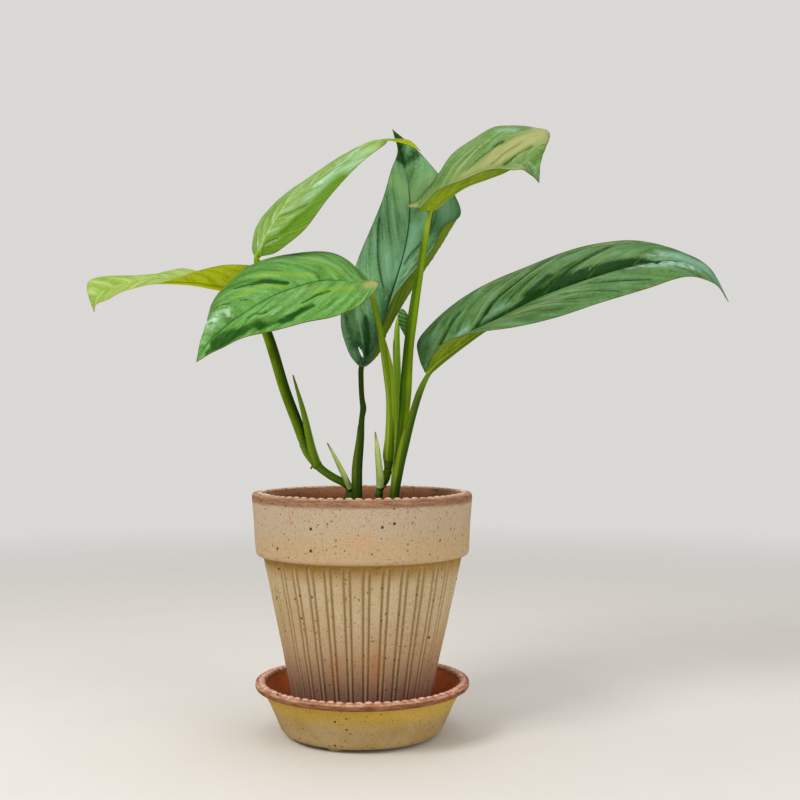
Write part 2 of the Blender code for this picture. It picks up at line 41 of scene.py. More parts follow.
TURN = 2 * math.pi
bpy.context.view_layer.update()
SEED = 11

# Camera: level, looking along +Y, as the photograph was taken
CAMERA_PLACE = (23.9, -732.5, 201.1)
FOCAL_PIXELS = 1150.0
PHOTO_SIDE = 800.0
HORIZON_PIXEL = 416.0
SENSOR = 36.0

# Floor: solid up to the first radius, gone at the second
FLOOR_FADE, FLOOR_SIDES = (450.0, 1500.0), 96

# The pale room: how bright it looks behind the plant, how much light it gives, and how bright it
# is where a glossy surface mirrors it
ROOM_SEEN, ROOM_LIGHT, ROOM_MIRRORED = 0.70, 0.50, 0.08
LIGHT_TARGET = (10, 0, 200)

# Leaf grid: rows from base to tip, and columns that crowd towards the midrib
BLADE_ROWS, HALF_COLUMNS, COLUMN_CROWDING = 200, 34, 1.3
# How far a blade's cross lines bend towards the tip on their way to the margins
VEIN_ARCH = 0.16
# The kinds of colour marks, each a value at a blade's points for its material: painted shade over a darker
# tone, painted sheen over a paler tone, painted glints, sunny and tan patches, ridges painted paler, partly
# as a highlight, and painted light shining through the blade
MASKS = ("deep", "milky", "gloss", "sunny", "tan", "pale", "bright")
# Rough lengths and widths of a blade, which turn (u, v) into millimetres where that is near enough
BLADE_LENGTH, WAVE_SPREAD, HOLE_SPREAD = 200.0, (190, 25), (160, 14)
# Heights and sizes in millimetres of a blade's forms: half its thickness, the groove over the midrib,
# the rib under each side vein, its branch veins, its waves, and its unevenness
BLADE_HALF = 0.2
GROOVE_DEPTH, GROOVE_WIDTH = 0.45, 0.75
SIDE_RIB, SIDE_RIB_WIDTH = 0.16, 0.12
BRANCHES, BRANCH_HEIGHT = 4, 0.03
WAVE_HEIGHT, WAVE_SIZE = 0.7, 26.0
UNEVEN_HEIGHT, UNEVEN_SIZE, CRUMPLE_SIZE = 0.13, 7.0, 3.2
# Where the keel under the midrib has its points, as shares of the blade
KEEL_SHARES = (0.0, 0.08, 0.16, 0.24, 0.32, 0.42, 0.52, 0.62, 0.72)

# Petioles and stems
STEM_SIDES = 48
STALK_VALUES = ("sheath", "seam", "tip", "ring", "pale", "keel", "side")

# Pot and saucer, as in the frame
RIM_RADIUS, RIM_HEIGHT = 70.0, 152.6
COLLAR_BOTTOM_RADIUS, COLLAR_BOTTOM = 67.6, 115.0
POT_BOTTOM, POT_FLOOR = 5.3, 11.3
BODY_TOP_RADIUS, BODY_TOP = 62.8, 112.6
BODY_BOTTOM_RADIUS, DRAIN_RADIUS = 40.9, 6.0
FLUTES, FLUTE_DEPTH, FLUTE_TURN = 33, 1.3, math.radians(-1.4)
BEADS, BEAD_HEIGHT, BEAD_SPREAD = 72, 1.3, 2.1
BEAD_STEPS = (1.05, 0.8, 0.55, 0.3, 0.0, -0.3, -0.55, -0.8, -1.05)
POT_BEAD_RADIUS, SAUCER_BEAD_RADIUS = 64.9, 63.9
SAUCER_RADIUS, LIP_TOP, SAUCER_FLOOR, SAUCER_UNDERSIDE = 68.2, 34.0, 5.0, 1.8
FEET, FOOT_RADIUS, FOOT_HEIGHT, FOOT_SIDES = 3, 5.0, 2.6, 40
FOOT_CIRCLE, FOOT_TURN = 42.0, math.radians(-20.7)
AROUND = FLUTES * 24

# Soil, which lies just inside the pot, with its heaps and crumbs
SOIL_LEVEL, SOIL_RADIUS, SOIL_BOTTOM = 140.0, 60.9, 11.6
SOIL_SIDE = ((34.2, 11.6), (36.9, 15.3), (54.3, 104.2), (59.7, 118.2), (60.9, 137.5))
SOIL_RINGS, SOIL_SIDES, HEAP_HEIGHT, CRUMBS = 90, 240, 0.9, 900


# Curves and noise

def curve(points, share):
    """Points on the smooth curve through points, for an array of shares from 0 to 1."""
    points = np.asarray(points, float)
    last = len(points) - 1
    place = np.clip(np.asarray(share, float), 0.0, 1.0) * last
    k = np.minimum(place.astype(int), last - 1)
    t = (place - k)[..., None]
    padded = np.vstack([2 * points[:1] - points[1:2], points, 2 * points[-1:] - points[-2:-1]])
    p0, p1, p2, p3 = (padded[k + i] for i in range(4))
    return 0.5 * (2 * p1 + (p2 - p0) * t + (2 * p0 - 5 * p1 + 4 * p2 - p3) * t ** 2
                  + (3 * p1 - p0 - 3 * p2 + p3) * t ** 3)


def ripple(points, size, seed, waves=9):
    """Smooth noise from about -1 to 1 at points, with bumps about size across."""
    random = np.random.default_rng(SEED + seed)
    total = np.zeros(points.shape[:-1])
    for _ in range(waves):
        way = random.normal(size=points.shape[-1])
        way *= random.uniform(0.6, 1.5) * math.pi / size / np.linalg.norm(way)
        total += np.sin(points @ way + random.uniform(0, TURN))
    return total / math.sqrt(waves)


def smooth(value, low, high):
    t = np.clip((value - low) / (high - low), 0.0, 1.0)
    return t * t * (3 - 2 * t)


def bell(value, width):
    return np.exp(-(value / width) ** 2)


def unit(vectors):
    return vectors / np.maximum(np.linalg.norm(vectors, axis=-1, keepdims=True), 1e-9)


def steps_along(points, axis=0):
    """Distances from each point to the next."""
    return np.linalg.norm(np.diff(points, axis=axis), axis=-1)


def turned(angle, radius, height):
    """Points round the pot's axis, at angles counted from its front."""
    parts = np.broadcast_arrays(np.sin(angle) * radius, -np.cos(angle) * radius, height)
    return np.stack(parts, -1)


# Meshes

def add_mesh(name, shape, finishes, sharp=60.0, face_finish=None):
    """Adds one mesh of points in millimetres, faces, and values at its points for its materials."""
    points, faces, values = shape
    mesh = bpy.data.meshes.new(name)
    mesh.from_pydata((np.asarray(points) * MM).tolist(), [], faces)
    mesh.shade_smooth()
    mesh.set_sharp_from_angle(angle=math.radians(sharp))
    for finish in finishes:
        mesh.materials.append(finish)
    if face_finish is not None:
        mesh.polygons.foreach_set("material_index", np.asarray(face_finish, np.int32))
    for key, amounts in values.items():
        made = mesh.attributes.new(key, "FLOAT", "POINT")
        made.data.foreach_set("value", np.asarray(amounts, np.float32))
    mesh.update()
    made = bpy.data.objects.new(name, mesh)
    bpy.context.scene.collection.objects.link(made)
    return made


def add_piece(name, node, slot, *mesh, **more):
    """Adds a mesh that rides on the one body and stands for a CAD node. Its slot is not used."""
    piece = add_mesh(name, *mesh, **more)
    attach(piece, "root")
    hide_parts(node)


def grid_faces(rows, columns, closed=False):
    """Quads of a grid, whose last column joins its first where it is closed."""
    made = []
    for i in range(rows - 1):
        for j in range(columns if closed else columns - 1):
            a, b = i * columns + j, i * columns + (j + 1) % columns
            made.append((a, b, b + columns, a + columns))
    return made


def skin(rings, ends=None):
    """Points and faces over rings of points. Two end points close it, or else its end rings join."""
    count, sides = rings.shape[:2]
    points, faces = rings.reshape(-1, 3), grid_faces(count, sides, closed=True)
    first, last = len(points), len(points) - sides
    for k in range(sides):
        after = (k + 1) % sides
        if ends is None:
            faces.append((last + k, last + after, after, k))
        else:
            faces += [(after, k, first), (last + k, last + after, first + 1)]
    return points if ends is None else np.vstack([points, ends]), faces


def open_edges(faces):
    """Directed edges that only one face has."""
    edges = dict.fromkeys(edge for face in faces for edge in zip(face, face[1:] + face[:1]))
    return [(a, b) for a, b in edges if (b, a) not in edges]


def join(parts):
    """One set of points, faces and values from several."""
    points, faces, values = [], [], {}
    for some, own_faces, own_values in parts:
        first = sum(len(p) for p in points)
        points.append(some)
        faces += [tuple(k + first for k in face) for face in own_faces]
        for key, amounts in own_values.items():
            values.setdefault(key, []).append(amounts)
    return np.vstack(points), faces, {key: np.concatenate(v) for key, v in values.items()}


# Materials

def tint(*display):
    """A colour from display values of 0 to 255."""
    shares = [c / 255 for c in display]
    return (*(c / 12.92 if c <= 0.04045 else ((c + 0.055) / 1.055) ** 2.4 for c in shares), 1.0)


class Finish:
    """A material on one Principled shader, with short calls for the nodes that feed it."""

    def __init__(self, name, specular):
        self.made = bpy.data.materials.new(name)
        self.made.use_nodes = True
        self.tree = self.made.node_tree
        self.shader = self.tree.nodes["Principled BSDF"]
        self.shader.inputs["Specular IOR Level"].default_value = specular
        self.place = self.scaled(self.node("TexCoord").outputs["Object"], 1 / MM)
        self.colour = None

    def node(self, kind, inputs=None, **settings):
        made = self.tree.nodes.new("ShaderNode" + kind)
        for key, value in settings.items():
            setattr(made, key, value)
        for key, value in (inputs or {}).items():
            self.feed(made.inputs[key], value)
        return made

    def feed(self, socket, value):
        if isinstance(value, bpy.types.NodeSocket):
            self.tree.links.new(value, socket)
        else:
            socket.default_value = value

    def scaled(self, vector, scale):
        """A vector times a number, or times one number for each axis."""
        if isinstance(scale, tuple):
            return self.node("VectorMath", {0: vector, 1: scale}, operation="MULTIPLY").outputs[0]
        return self.node("VectorMath", {0: vector, "Scale": scale}, operation="SCALE").outputs[0]

    def far(self, vector):
        return self.node("VectorMath", {0: vector}, operation="LENGTH").outputs["Value"]

    def value(self, name):
        return self.node("Attribute", attribute_name=name).outputs["Fac"]

    def height(self):
        return self.node("SeparateXYZ", {0: self.place}).outputs[2]

    def math(self, operation, a, b=0.0, c=0.0):
        return self.node("Math", {0: a, 1: b, 2: c}, operation=operation).outputs[0]

    def times(self, a, b):
        return self.math("MULTIPLY", a, b)

    def plus(self, a, b):
        return self.math("ADD", a, b)

    def minus(self, a, b):
        return self.math("SUBTRACT", a, b)

    def span(self, value, low, high, start=0.0, end=1.0):
        """start below low, end above high, and a smooth step between."""
        inputs = {"Value": value, "From Min": low, "From Max": high, "To Min": start, "To Max": end}
        return self.node("MapRange", inputs, interpolation_type="SMOOTHSTEP").outputs[0]

    def mix(self, factor, a, b):
        """One colour over another. Each is a socket, or (red, green, blue) display values."""
        a, b = (tint(*c) if isinstance(c, tuple) else c for c in (a, b))
        return self.node("Mix", {0: factor, 6: a, 7: b}, data_type="RGBA").outputs[2]

    def blend(self, value, low, high, a, b):
        return self.mix(self.span(value, low, high), a, b)

    def paint(self, amount, colour):
        """Lays a colour over the finish's colour so far."""
        self.colour = self.mix(amount, self.colour, colour)

    def wash(self, colour, value, *span):
        """Lays a colour over the finish's colour where the value lies in a span."""
        self.paint(self.span(value, *span), colour)

    def noise(self, size, detail=3.0, rough=0.55, stretch=None, place=None):
        """Noise from 0 to 1 with features about size millimetres across."""
        place = place or (self.scaled(self.place, stretch) if stretch else self.place)
        inputs = {"Vector": place, "Scale": 1.0 / size, "Detail": detail, "Roughness": rough}
        return self.node("TexNoise", inputs).outputs["Fac"]

    def waved(self, value, noise, reach):
        """A value that noise moves up and down, by up to half of reach."""
        return self.plus(value, self.times(self.minus(noise, 0.5), reach))

    def specks(self, spacing, size):
        """1 inside scattered round specks, whose sizes differ from cell to cell."""
        cells = self.node("TexVoronoi", {"Vector": self.place, "Scale": 1.0 / spacing})
        chance = self.node("SeparateColor", {0: cells.outputs["Color"]}).outputs[0]
        reach = self.times(self.math("POWER", chance, 3.0), size / spacing)
        return self.span(self.minus(reach, cells.outputs["Distance"]), 0.0, 0.12 * size / spacing)

    def apart(self, phase):
        """How far the phase is from a whole number."""
        return self.math("ABSOLUTE", self.minus(self.math("FRACT", self.plus(phase, 0.5)), 0.5))

    def line(self, phase, width):
        """1 on lines where the phase is a whole number, falling to 0 at width to either side."""
        return self.span(self.apart(phase), 0.0, width, 1.0, 0.0)

    def done(self, roughness, height=None, depth=0.0, strength=1.0):
        """Feeds the shader with the colour, a roughness, and a relief of the given depth in millimetres."""
        self.feed(self.shader.inputs["Base Color"], self.colour)
        self.feed(self.shader.inputs["Roughness"], roughness)
        if height is not None:
            inputs = {"Strength": strength, "Distance": depth * MM, "Height": height}
            self.feed(self.shader.inputs["Normal"], self.node("Bump", inputs).outputs[0])
        return self.made


def leaf_finish(name, shades, vein_light=0.3, rough=0.34, marked=1.0, pleats=0.5, mottled=0.42,
                margin=1.0):
    """A blade's face: mottled green with painted shade, sheen and glints, side veins and their branches,
    midrib line and brown margin.
    """
    f = Finish(name, 0.06)
    base, second, deep, milky, gloss, sunny, tan, vein, rib, edge, *bright = shades
    broad, fine, small = f.noise(22.0, 2.0), f.noise(2.2, 4.0, 0.65), f.noise(0.8, 3.0, 0.6)
    torn = f.span(fine, 0.25, 0.6, 0.75, 1.0)

    def mark(key, share, full=0.7):
        return f.span(f.times(f.value(key), torn), 0.04, full, 0.0, share * marked)

    # Mottled green and streaks of the darker and paler tones along the side veins; at each pleat, painted
    # shade in the valley by the vein and painted sheen on the crest between
    f.colour = f.blend(broad, 0.3, 0.7, base, second)
    f.wash(deep, fine, 0.42, 0.75, 0.0, mottled)
    f.wash(milky, small, 0.5, 0.75, 0.0, 0.4)
    phase, from_rib = f.value("vein"), f.value("rib")
    apart = f.apart(phase)
    streak = f.node("CombineXYZ", {0: f.times(phase, 2.6), 1: f.times(from_rib, 0.06)}).outputs[0]
    streak = f.noise(1.0, 3.0, 0.5, place=streak)
    f.wash(deep, streak, 0.5, 0.72, 0.0, 0.5)
    f.wash(milky, streak, 0.5, 0.3, 0.0, 0.35)
    patchy = f.span(f.noise(13.0), 0.35, 0.65, 0.2 * pleats, pleats)
    f.paint(f.times(f.span(apart, 0.0, 0.2, 1.0, 0.0), patchy), deep)
    f.paint(f.times(f.span(apart, 0.3, 0.5), patchy), milky)

    # Colour marks: painted sheen, sunny and tan patches, painted light shining through the blade, painted
    # shade, ridges painted paler, partly as a highlight, and painted glints
    # Painted sheen where the blade's slopes would mirror the lamps and the pale room
    f.paint(mark("milky", 0.85, 1.0), milky)
    f.paint(f.times(mark("sunny", 1.0, 0.9), f.span(streak, 0.35, 0.6, 1.0, 0.8)), sunny)
    f.paint(mark("tan", 0.9, 1.1), tan)
    # Painted light shining through the blade, on one face only
    f.paint(mark("bright", 1.0 / marked, 0.8), bright[0] if bright else base)
    # Painted shade: dark hollows and patches where the blade turns away from the light
    f.paint(mark("deep", 0.92, 0.95), deep)
    f.paint(mark("pale", 0.6), vein)
    # Painted glints, broken by noise, where crumples would mirror the lamps; the same places are smoother
    shine = f.times(mark("gloss", 0.6), f.span(f.noise(3.6), 0.42, 0.62, 0.1, 1.0))
    f.paint(shine, gloss)

    # Side veins and their branches, the midrib's line, on the darker faces a painted shadow in its groove,
    # and the ragged brown margin
    branch = f.times(f.line(f.times(phase, 5.0), 0.3), f.span(f.value("deep"), 0.1, 0.6, 1.0, 0.1))
    veins = f.math("MAXIMUM", f.times(branch, 0.35), f.line(phase, 0.06))
    veins = f.times(veins, f.span(fine, 0.2, 0.6, 0.4, 1.0))
    f.paint(f.times(veins, vein_light), vein)
    on_rib = f.times(f.span(from_rib, 0.2, 0.8, 1.0, 0.0), f.value("ribbed"))
    f.paint(f.times(on_rib, 0.85), rib)
    ragged = f.plus(f.value("edge"), f.times(f.noise(3.0), -0.35))
    f.wash(edge, ragged, 0.12 * margin, 0.45 * margin, 0.9, 0.0)

    # Relief: a fine net of veins, grain, and the sunken branches
    net = f.node("TexVoronoi", {"Vector": f.place, "Scale": 0.9}, feature="DISTANCE_TO_EDGE")
    net = f.span(net.outputs["Distance"], 0.0, 0.12)
    height = f.plus(f.times(net, 0.35), f.times(fine, 0.9))
    height = f.minus(height, f.times(branch, 0.3))
    roughness = f.span(f.noise(9.0), 0.3, 0.7, rough - 0.06, rough + 0.1)
    return f.done(f.minus(roughness, f.times(shine, 0.15)), height, 0.12, 0.7)


def stem_finish(name, light, dark, sheath, keel=(150, 168, 40), foot=(150.0, 166.0)):
    """Green stalk, lighter on its left, partly its own two tones and partly painted light from that side,
    with fine lines along it, a lighter sheath, painted shadow along the sheath's edge and a dark foot.
    """
    f = Finish(name, 0.06)
    grain = f.noise(2.0, 3.0, 0.6, (1.0, 1.0, 0.12))
    patches = f.noise(14.0, 2.0)
    # Lighter on the left: partly the stalk's own two tones, partly painted light falling from that side
    f.colour = f.blend(f.value("side"), -0.8, 0.7, light, dark)
    f.wash(dark, patches, 0.4, 0.75, 0.0, 0.4)
    f.paint(f.times(f.value("sheath"), 0.8), sheath)
    f.wash(dark, grain, 0.45, 0.8, 0.0, 0.3)
    f.paint(f.value("keel"), keel)
    f.wash((26, 52, 12), f.height(), *foot, 0.8, 0.0)
    f.paint(f.value("pale"), f.blend(grain, 0.35, 0.7, (186, 204, 124), (150, 178, 88)))
    # Painted shadow in the groove along the sheath's edge
    f.paint(f.times(f.value("seam"), 0.5), (40, 66, 10))
    f.paint(f.times(f.value("ring"), 0.55), (36, 66, 20))
    f.paint(f.times(f.value("tip"), 0.8), (112, 76, 36))
    f.paint(f.times(f.specks(3.0, 0.5), 0.5), (70, 45, 20))
    return f.done(f.span(patches, 0.3, 0.7, 0.32, 0.45), grain, 0.15, 0.5)


def speckled(f):
    """Grain and speckles shared by both clay pieces."""
    grain = f.noise(0.8, 4.0, 0.7)
    small = f.math("MAXIMUM", f.times(f.specks(0.9, 0.4), 0.6), f.specks(1.5, 0.45))
    small = f.times(f.math("MAXIMUM", small, f.specks(2.6, 0.8)), 0.75)
    return grain, f.math("MAXIMUM", small, f.specks(7.0, 1.15))


def finished_clay(f, grain, spots, low, high):
    """The speckles on top of all, and the roughness and relief of both clay pieces."""
    f.paint(f.times(spots, 0.9), (60, 30, 10))
    relief = f.minus(grain, f.times(spots, 0.6))
    return f.done(f.span(grain, 0.3, 0.7, low, high), relief, 0.25, 0.5)


def pot_finish():
    f = Finish("fluted_clay", 0.25)
    height = f.height()
    z = f.waved(height, f.noise(9.0), 3.0)
    grain, spots = speckled(f)
    broad, hollow = f.noise(30.0), f.value("hollow")

    # Bands by height: browner and darker towards the foot, ochre below the collar, partly the clay's tint
    # and partly painted shadow and warm bounced light, and the collar
    f.colour = f.blend(broad, 0.35, 0.7, (194, 176, 141), (184, 160, 117))
    f.wash((172, 134, 100), z, 42.0, 92.0, 0.85, 0.0)
    f.wash((118, 86, 78), z, 24.0, 66.0, 0.95, 0.0)
    # Ochre below the collar: partly the clay's tint, partly painted shadow under the collar and painted warm
    # bounced light
    f.wash((150, 110, 4), z, 99.0, 113.0, 0.0, 0.9)
    band = f.blend(z, 121.0, 137.0, (190, 164, 124), (185, 167, 141))
    band = f.mix(f.span(broad, 0.45, 0.7, 0.0, 0.5), band, (190, 164, 128))
    f.wash(band, height, 113.0, 115.0)

    # Grooves painted darker, partly pigment gathered in them and partly painted shade, with lighter edges,
    # and drips down the collar
    groove = f.blend(z, 30.0, 66.0, (84, 52, 46), (144, 116, 70))
    f.paint(f.times(f.span(hollow, 0.0, 0.22), 0.3), (198, 170, 124))
    f.paint(f.times(f.span(hollow, 0.2, 0.9), 0.75), groove)
    drips = f.span(f.noise(1.5, 2.0, 0.5, (1.0, 1.0, 0.04)), 0.6, 0.72)
    drips = f.times(f.times(drips, f.span(z, 112.0, 118.0)), f.span(f.noise(16.0), 0.4, 0.6, 0.15, 1.0))
    f.paint(f.times(drips, 0.5), (190, 124, 76))

    # Soft stains: place, size along each axis, strength and colour
    for place, size, strength, colour in (
            ((9.0, -48.0, 52.0), (8.0, 30.0, 26.0), 0.4, (172, 108, 36)),
            ((-14.0, -48.0, 50.0), (6.0, 30.0, 16.0), 0.3, (172, 108, 36)),
            ((2.0, -66.0, 127.0), (14.0, 30.0, 9.0), 0.35, (206, 150, 104))):
        away = f.node("VectorMath", {0: f.place, 1: place}, operation="SUBTRACT").outputs[0]
        away = f.far(f.scaled(away, tuple(1 / n for n in size)))
        uneven = f.span(f.noise(4.0), 0.3, 0.6, 0.4, 1.0)
        f.paint(f.times(f.span(away, 0.1, 1.0, strength, 0.0), uneven), colour)

    # The smeared rim with its worn edge and bead tops, the inside painted darker further down as shade, and
    # the grain over all
    smear = f.noise(2.4, 4.0, 0.7, (0.22, 0.22, 1.6))
    rim = f.blend(smear, 0.35, 0.65, (112, 70, 46), (164, 120, 92))
    f.wash(rim, f.waved(height, smear, 5.0), 146.4, 148.6, 0.0, 0.92)
    worn = f.blend(f.noise(5.0), 0.35, 0.65, (214, 178, 150), (176, 126, 98))
    f.wash(worn, height, 151.8, 152.5, 0.0, 0.75)
    f.wash(f.blend(f.noise(3.0), 0.35, 0.65, (236, 212, 196), (214, 172, 150)), height, 152.7, 153.2)
    inner = f.blend(broad, 0.3, 0.7, (156, 88, 46), (128, 66, 30))
    f.paint(f.value("inner"), f.blend(z, 143.0, 151.0, inner, (174, 116, 84)))
    f.wash((150, 115, 80), grain, 0.4, 0.75, 0.0, 0.45)
    f.wash((224, 206, 174), grain, 0.42, 0.25, 0.0, 0.35)
    return finished_clay(f, grain, spots, 0.78, 0.95)


def saucer_finish():
    f = Finish("saucer_clay", 0.25)
    height = f.height()
    grain, spots = speckled(f)
    broad = f.noise(26.0)

    # Ochre up the side, partly the clay's tint and partly painted warm bounced light, a smeared lip with
    # painted shade below it and worn above, the inside, and the grain
    f.colour = f.blend(broad, 0.35, 0.7, (178, 155, 110), (168, 142, 88))
    f.wash((200, 164, 62), f.waved(height, f.noise(9.0), 3.0), 13.0, 26.0, 0.0, 0.9)
    smear = f.noise(2.0, 4.0, 0.7, (0.25, 0.25, 1.5))
    f.wash(f.blend(smear, 0.35, 0.65, (104, 58, 30), (162, 110, 74)), height, 28.9, 30.0)
    shaded = f.blend(height, 28.6, 29.2, f.colour, (84, 46, 22))
    f.wash(shaded, height, 29.6, 30.4, 0.7, 0.0)
    worn = f.blend(f.noise(5.0), 0.3, 0.6, (232, 192, 166), (184, 124, 94))
    f.wash(worn, height, 32.6, 33.4, 0.0, 0.85)
    f.wash(f.blend(f.noise(3.0), 0.35, 0.65, (238, 200, 182), (220, 164, 142)), height, 33.9, 34.4)
    f.paint(f.value("inner"), f.blend(broad, 0.3, 0.7, (238, 134, 68), (214, 106, 46)))
    f.wash((140, 98, 62), grain, 0.4, 0.75, 0.0, 0.45)
    return finished_clay(f, grain, spots, 0.75, 0.93)


def soil_finish():
    f = Finish("potting_soil", 0.3)
    grain = f.noise(0.9, 4.0, 0.7)
    f.colour = f.mix(f.value("shade"), (48, 34, 24), (92, 68, 48))
    f.wash((30, 20, 14), grain, 0.35, 0.75)
    return f.done(f.span(grain, 0.3, 0.7, 0.8, 1.0), grain, 0.5, 0.8)


# The plant

UNDERSIDE = {"rough": 0.5, "marked": 0.3}

# The faces of the blades: what each changes in leaf_finish, then its shades as display values, in the
# order base, second, dark tone and painted shade, pale tone and painted sheen, painted glint, sunny, tan,
# vein, rib (on the darker faces a painted shadow in the midrib's groove), margin and, for one, painted
# light shining through the blade
BLADE_LOOKS = {
    "leaf_dark_top": ({"vein_light": 0.12, "pleats": 0.3}, (94, 133, 68), (76, 118, 56), (4, 48, 0),
        (122, 166, 138), (190, 215, 205), (100, 138, 58), (142, 148, 98), (136, 158, 102), (14, 48, 14),
        (96, 70, 36)),
    "leaf_back_top": ({"vein_light": 0.12, "pleats": 0.35}, (128, 180, 118), (114, 168, 114), (14, 62, 6),
        (152, 206, 172), (190, 215, 205), (110, 140, 70), (162, 206, 134), (140, 176, 128), (20, 56, 30),
        (96, 70, 36)),
    "leaf_mid_top": ({"vein_light": 0.12, "pleats": 0.28}, (102, 157, 66), (90, 144, 60), (14, 70, 0),
        (142, 192, 134), (204, 232, 200), (138, 174, 44), (170, 164, 98), (142, 184, 100), (24, 74, 14),
        (104, 66, 34)),
    "leaf_tan_top": ({"vein_light": 0.25, "mottled": 0.6}, (122, 150, 76), (106, 142, 68), (44, 88, 6),
        (128, 176, 132), (196, 222, 200), (90, 140, 24), (164, 164, 104), (176, 182, 124), (110, 130, 70),
        (120, 84, 56)),
    "leaf_pale_top": ({"vein_light": 0.26}, (142, 172, 82), (126, 160, 72), (76, 118, 8), (162, 204, 164),
        (214, 232, 204), (84, 128, 0), (176, 176, 112), (186, 206, 132), (186, 206, 124), (104, 66, 34)),
    "leaf_far_top": ({}, (154, 178, 84), (142, 172, 72), (104, 142, 24), (184, 204, 130), (214, 232, 204),
        (140, 176, 40), (176, 186, 120), (190, 208, 130), (160, 190, 80), (170, 150, 110)),
    "leaf_underside": ({"vein_light": 0.4, **UNDERSIDE}, (134, 158, 16), (118, 146, 18), (70, 98, 2),
        (150, 170, 50), (170, 186, 100), (150, 164, 22), (206, 204, 76), (156, 172, 70), (150, 168, 60),
        (96, 60, 30)),
    # Colours raised above the leaf's own, as painted light shining through the blade
    "leaf_far_underside": ({"rough": 0.5, "marked": 0.5}, (200, 222, 2), (190, 214, 4), (140, 150, 0),
        (200, 215, 90), (180, 196, 100), (170, 180, 20), (170, 170, 60), (176, 188, 60), (150, 160, 10),
        (170, 150, 70)),
    "leaf_back_underside": ({"vein_light": 0.4, **UNDERSIDE}, (112, 138, 20), (98, 126, 22), (60, 86, 6),
        (140, 160, 70), (150, 166, 90), (120, 140, 22), (130, 136, 60), (136, 152, 60), (130, 148, 50),
        (96, 60, 30)),
    "leaf_upper_left_underside": (UNDERSIDE, (172, 194, 50), (158, 184, 44), (106, 134, 12), (188, 204, 100),
        (190, 206, 100), (150, 176, 30), (190, 196, 90), (192, 206, 96), (186, 204, 84), (110, 90, 30),
        (246, 255, 8)),
    "leaf_upper_right_underside": ({"vein_light": 0.4, "margin": 3.0, **UNDERSIDE}, (168, 190, 26),
        (150, 176, 28), (84, 112, 6), (176, 196, 80), (170, 186, 100), (150, 164, 22), (206, 204, 76),
        (156, 172, 70), (150, 168, 60), (52, 32, 8)),
}
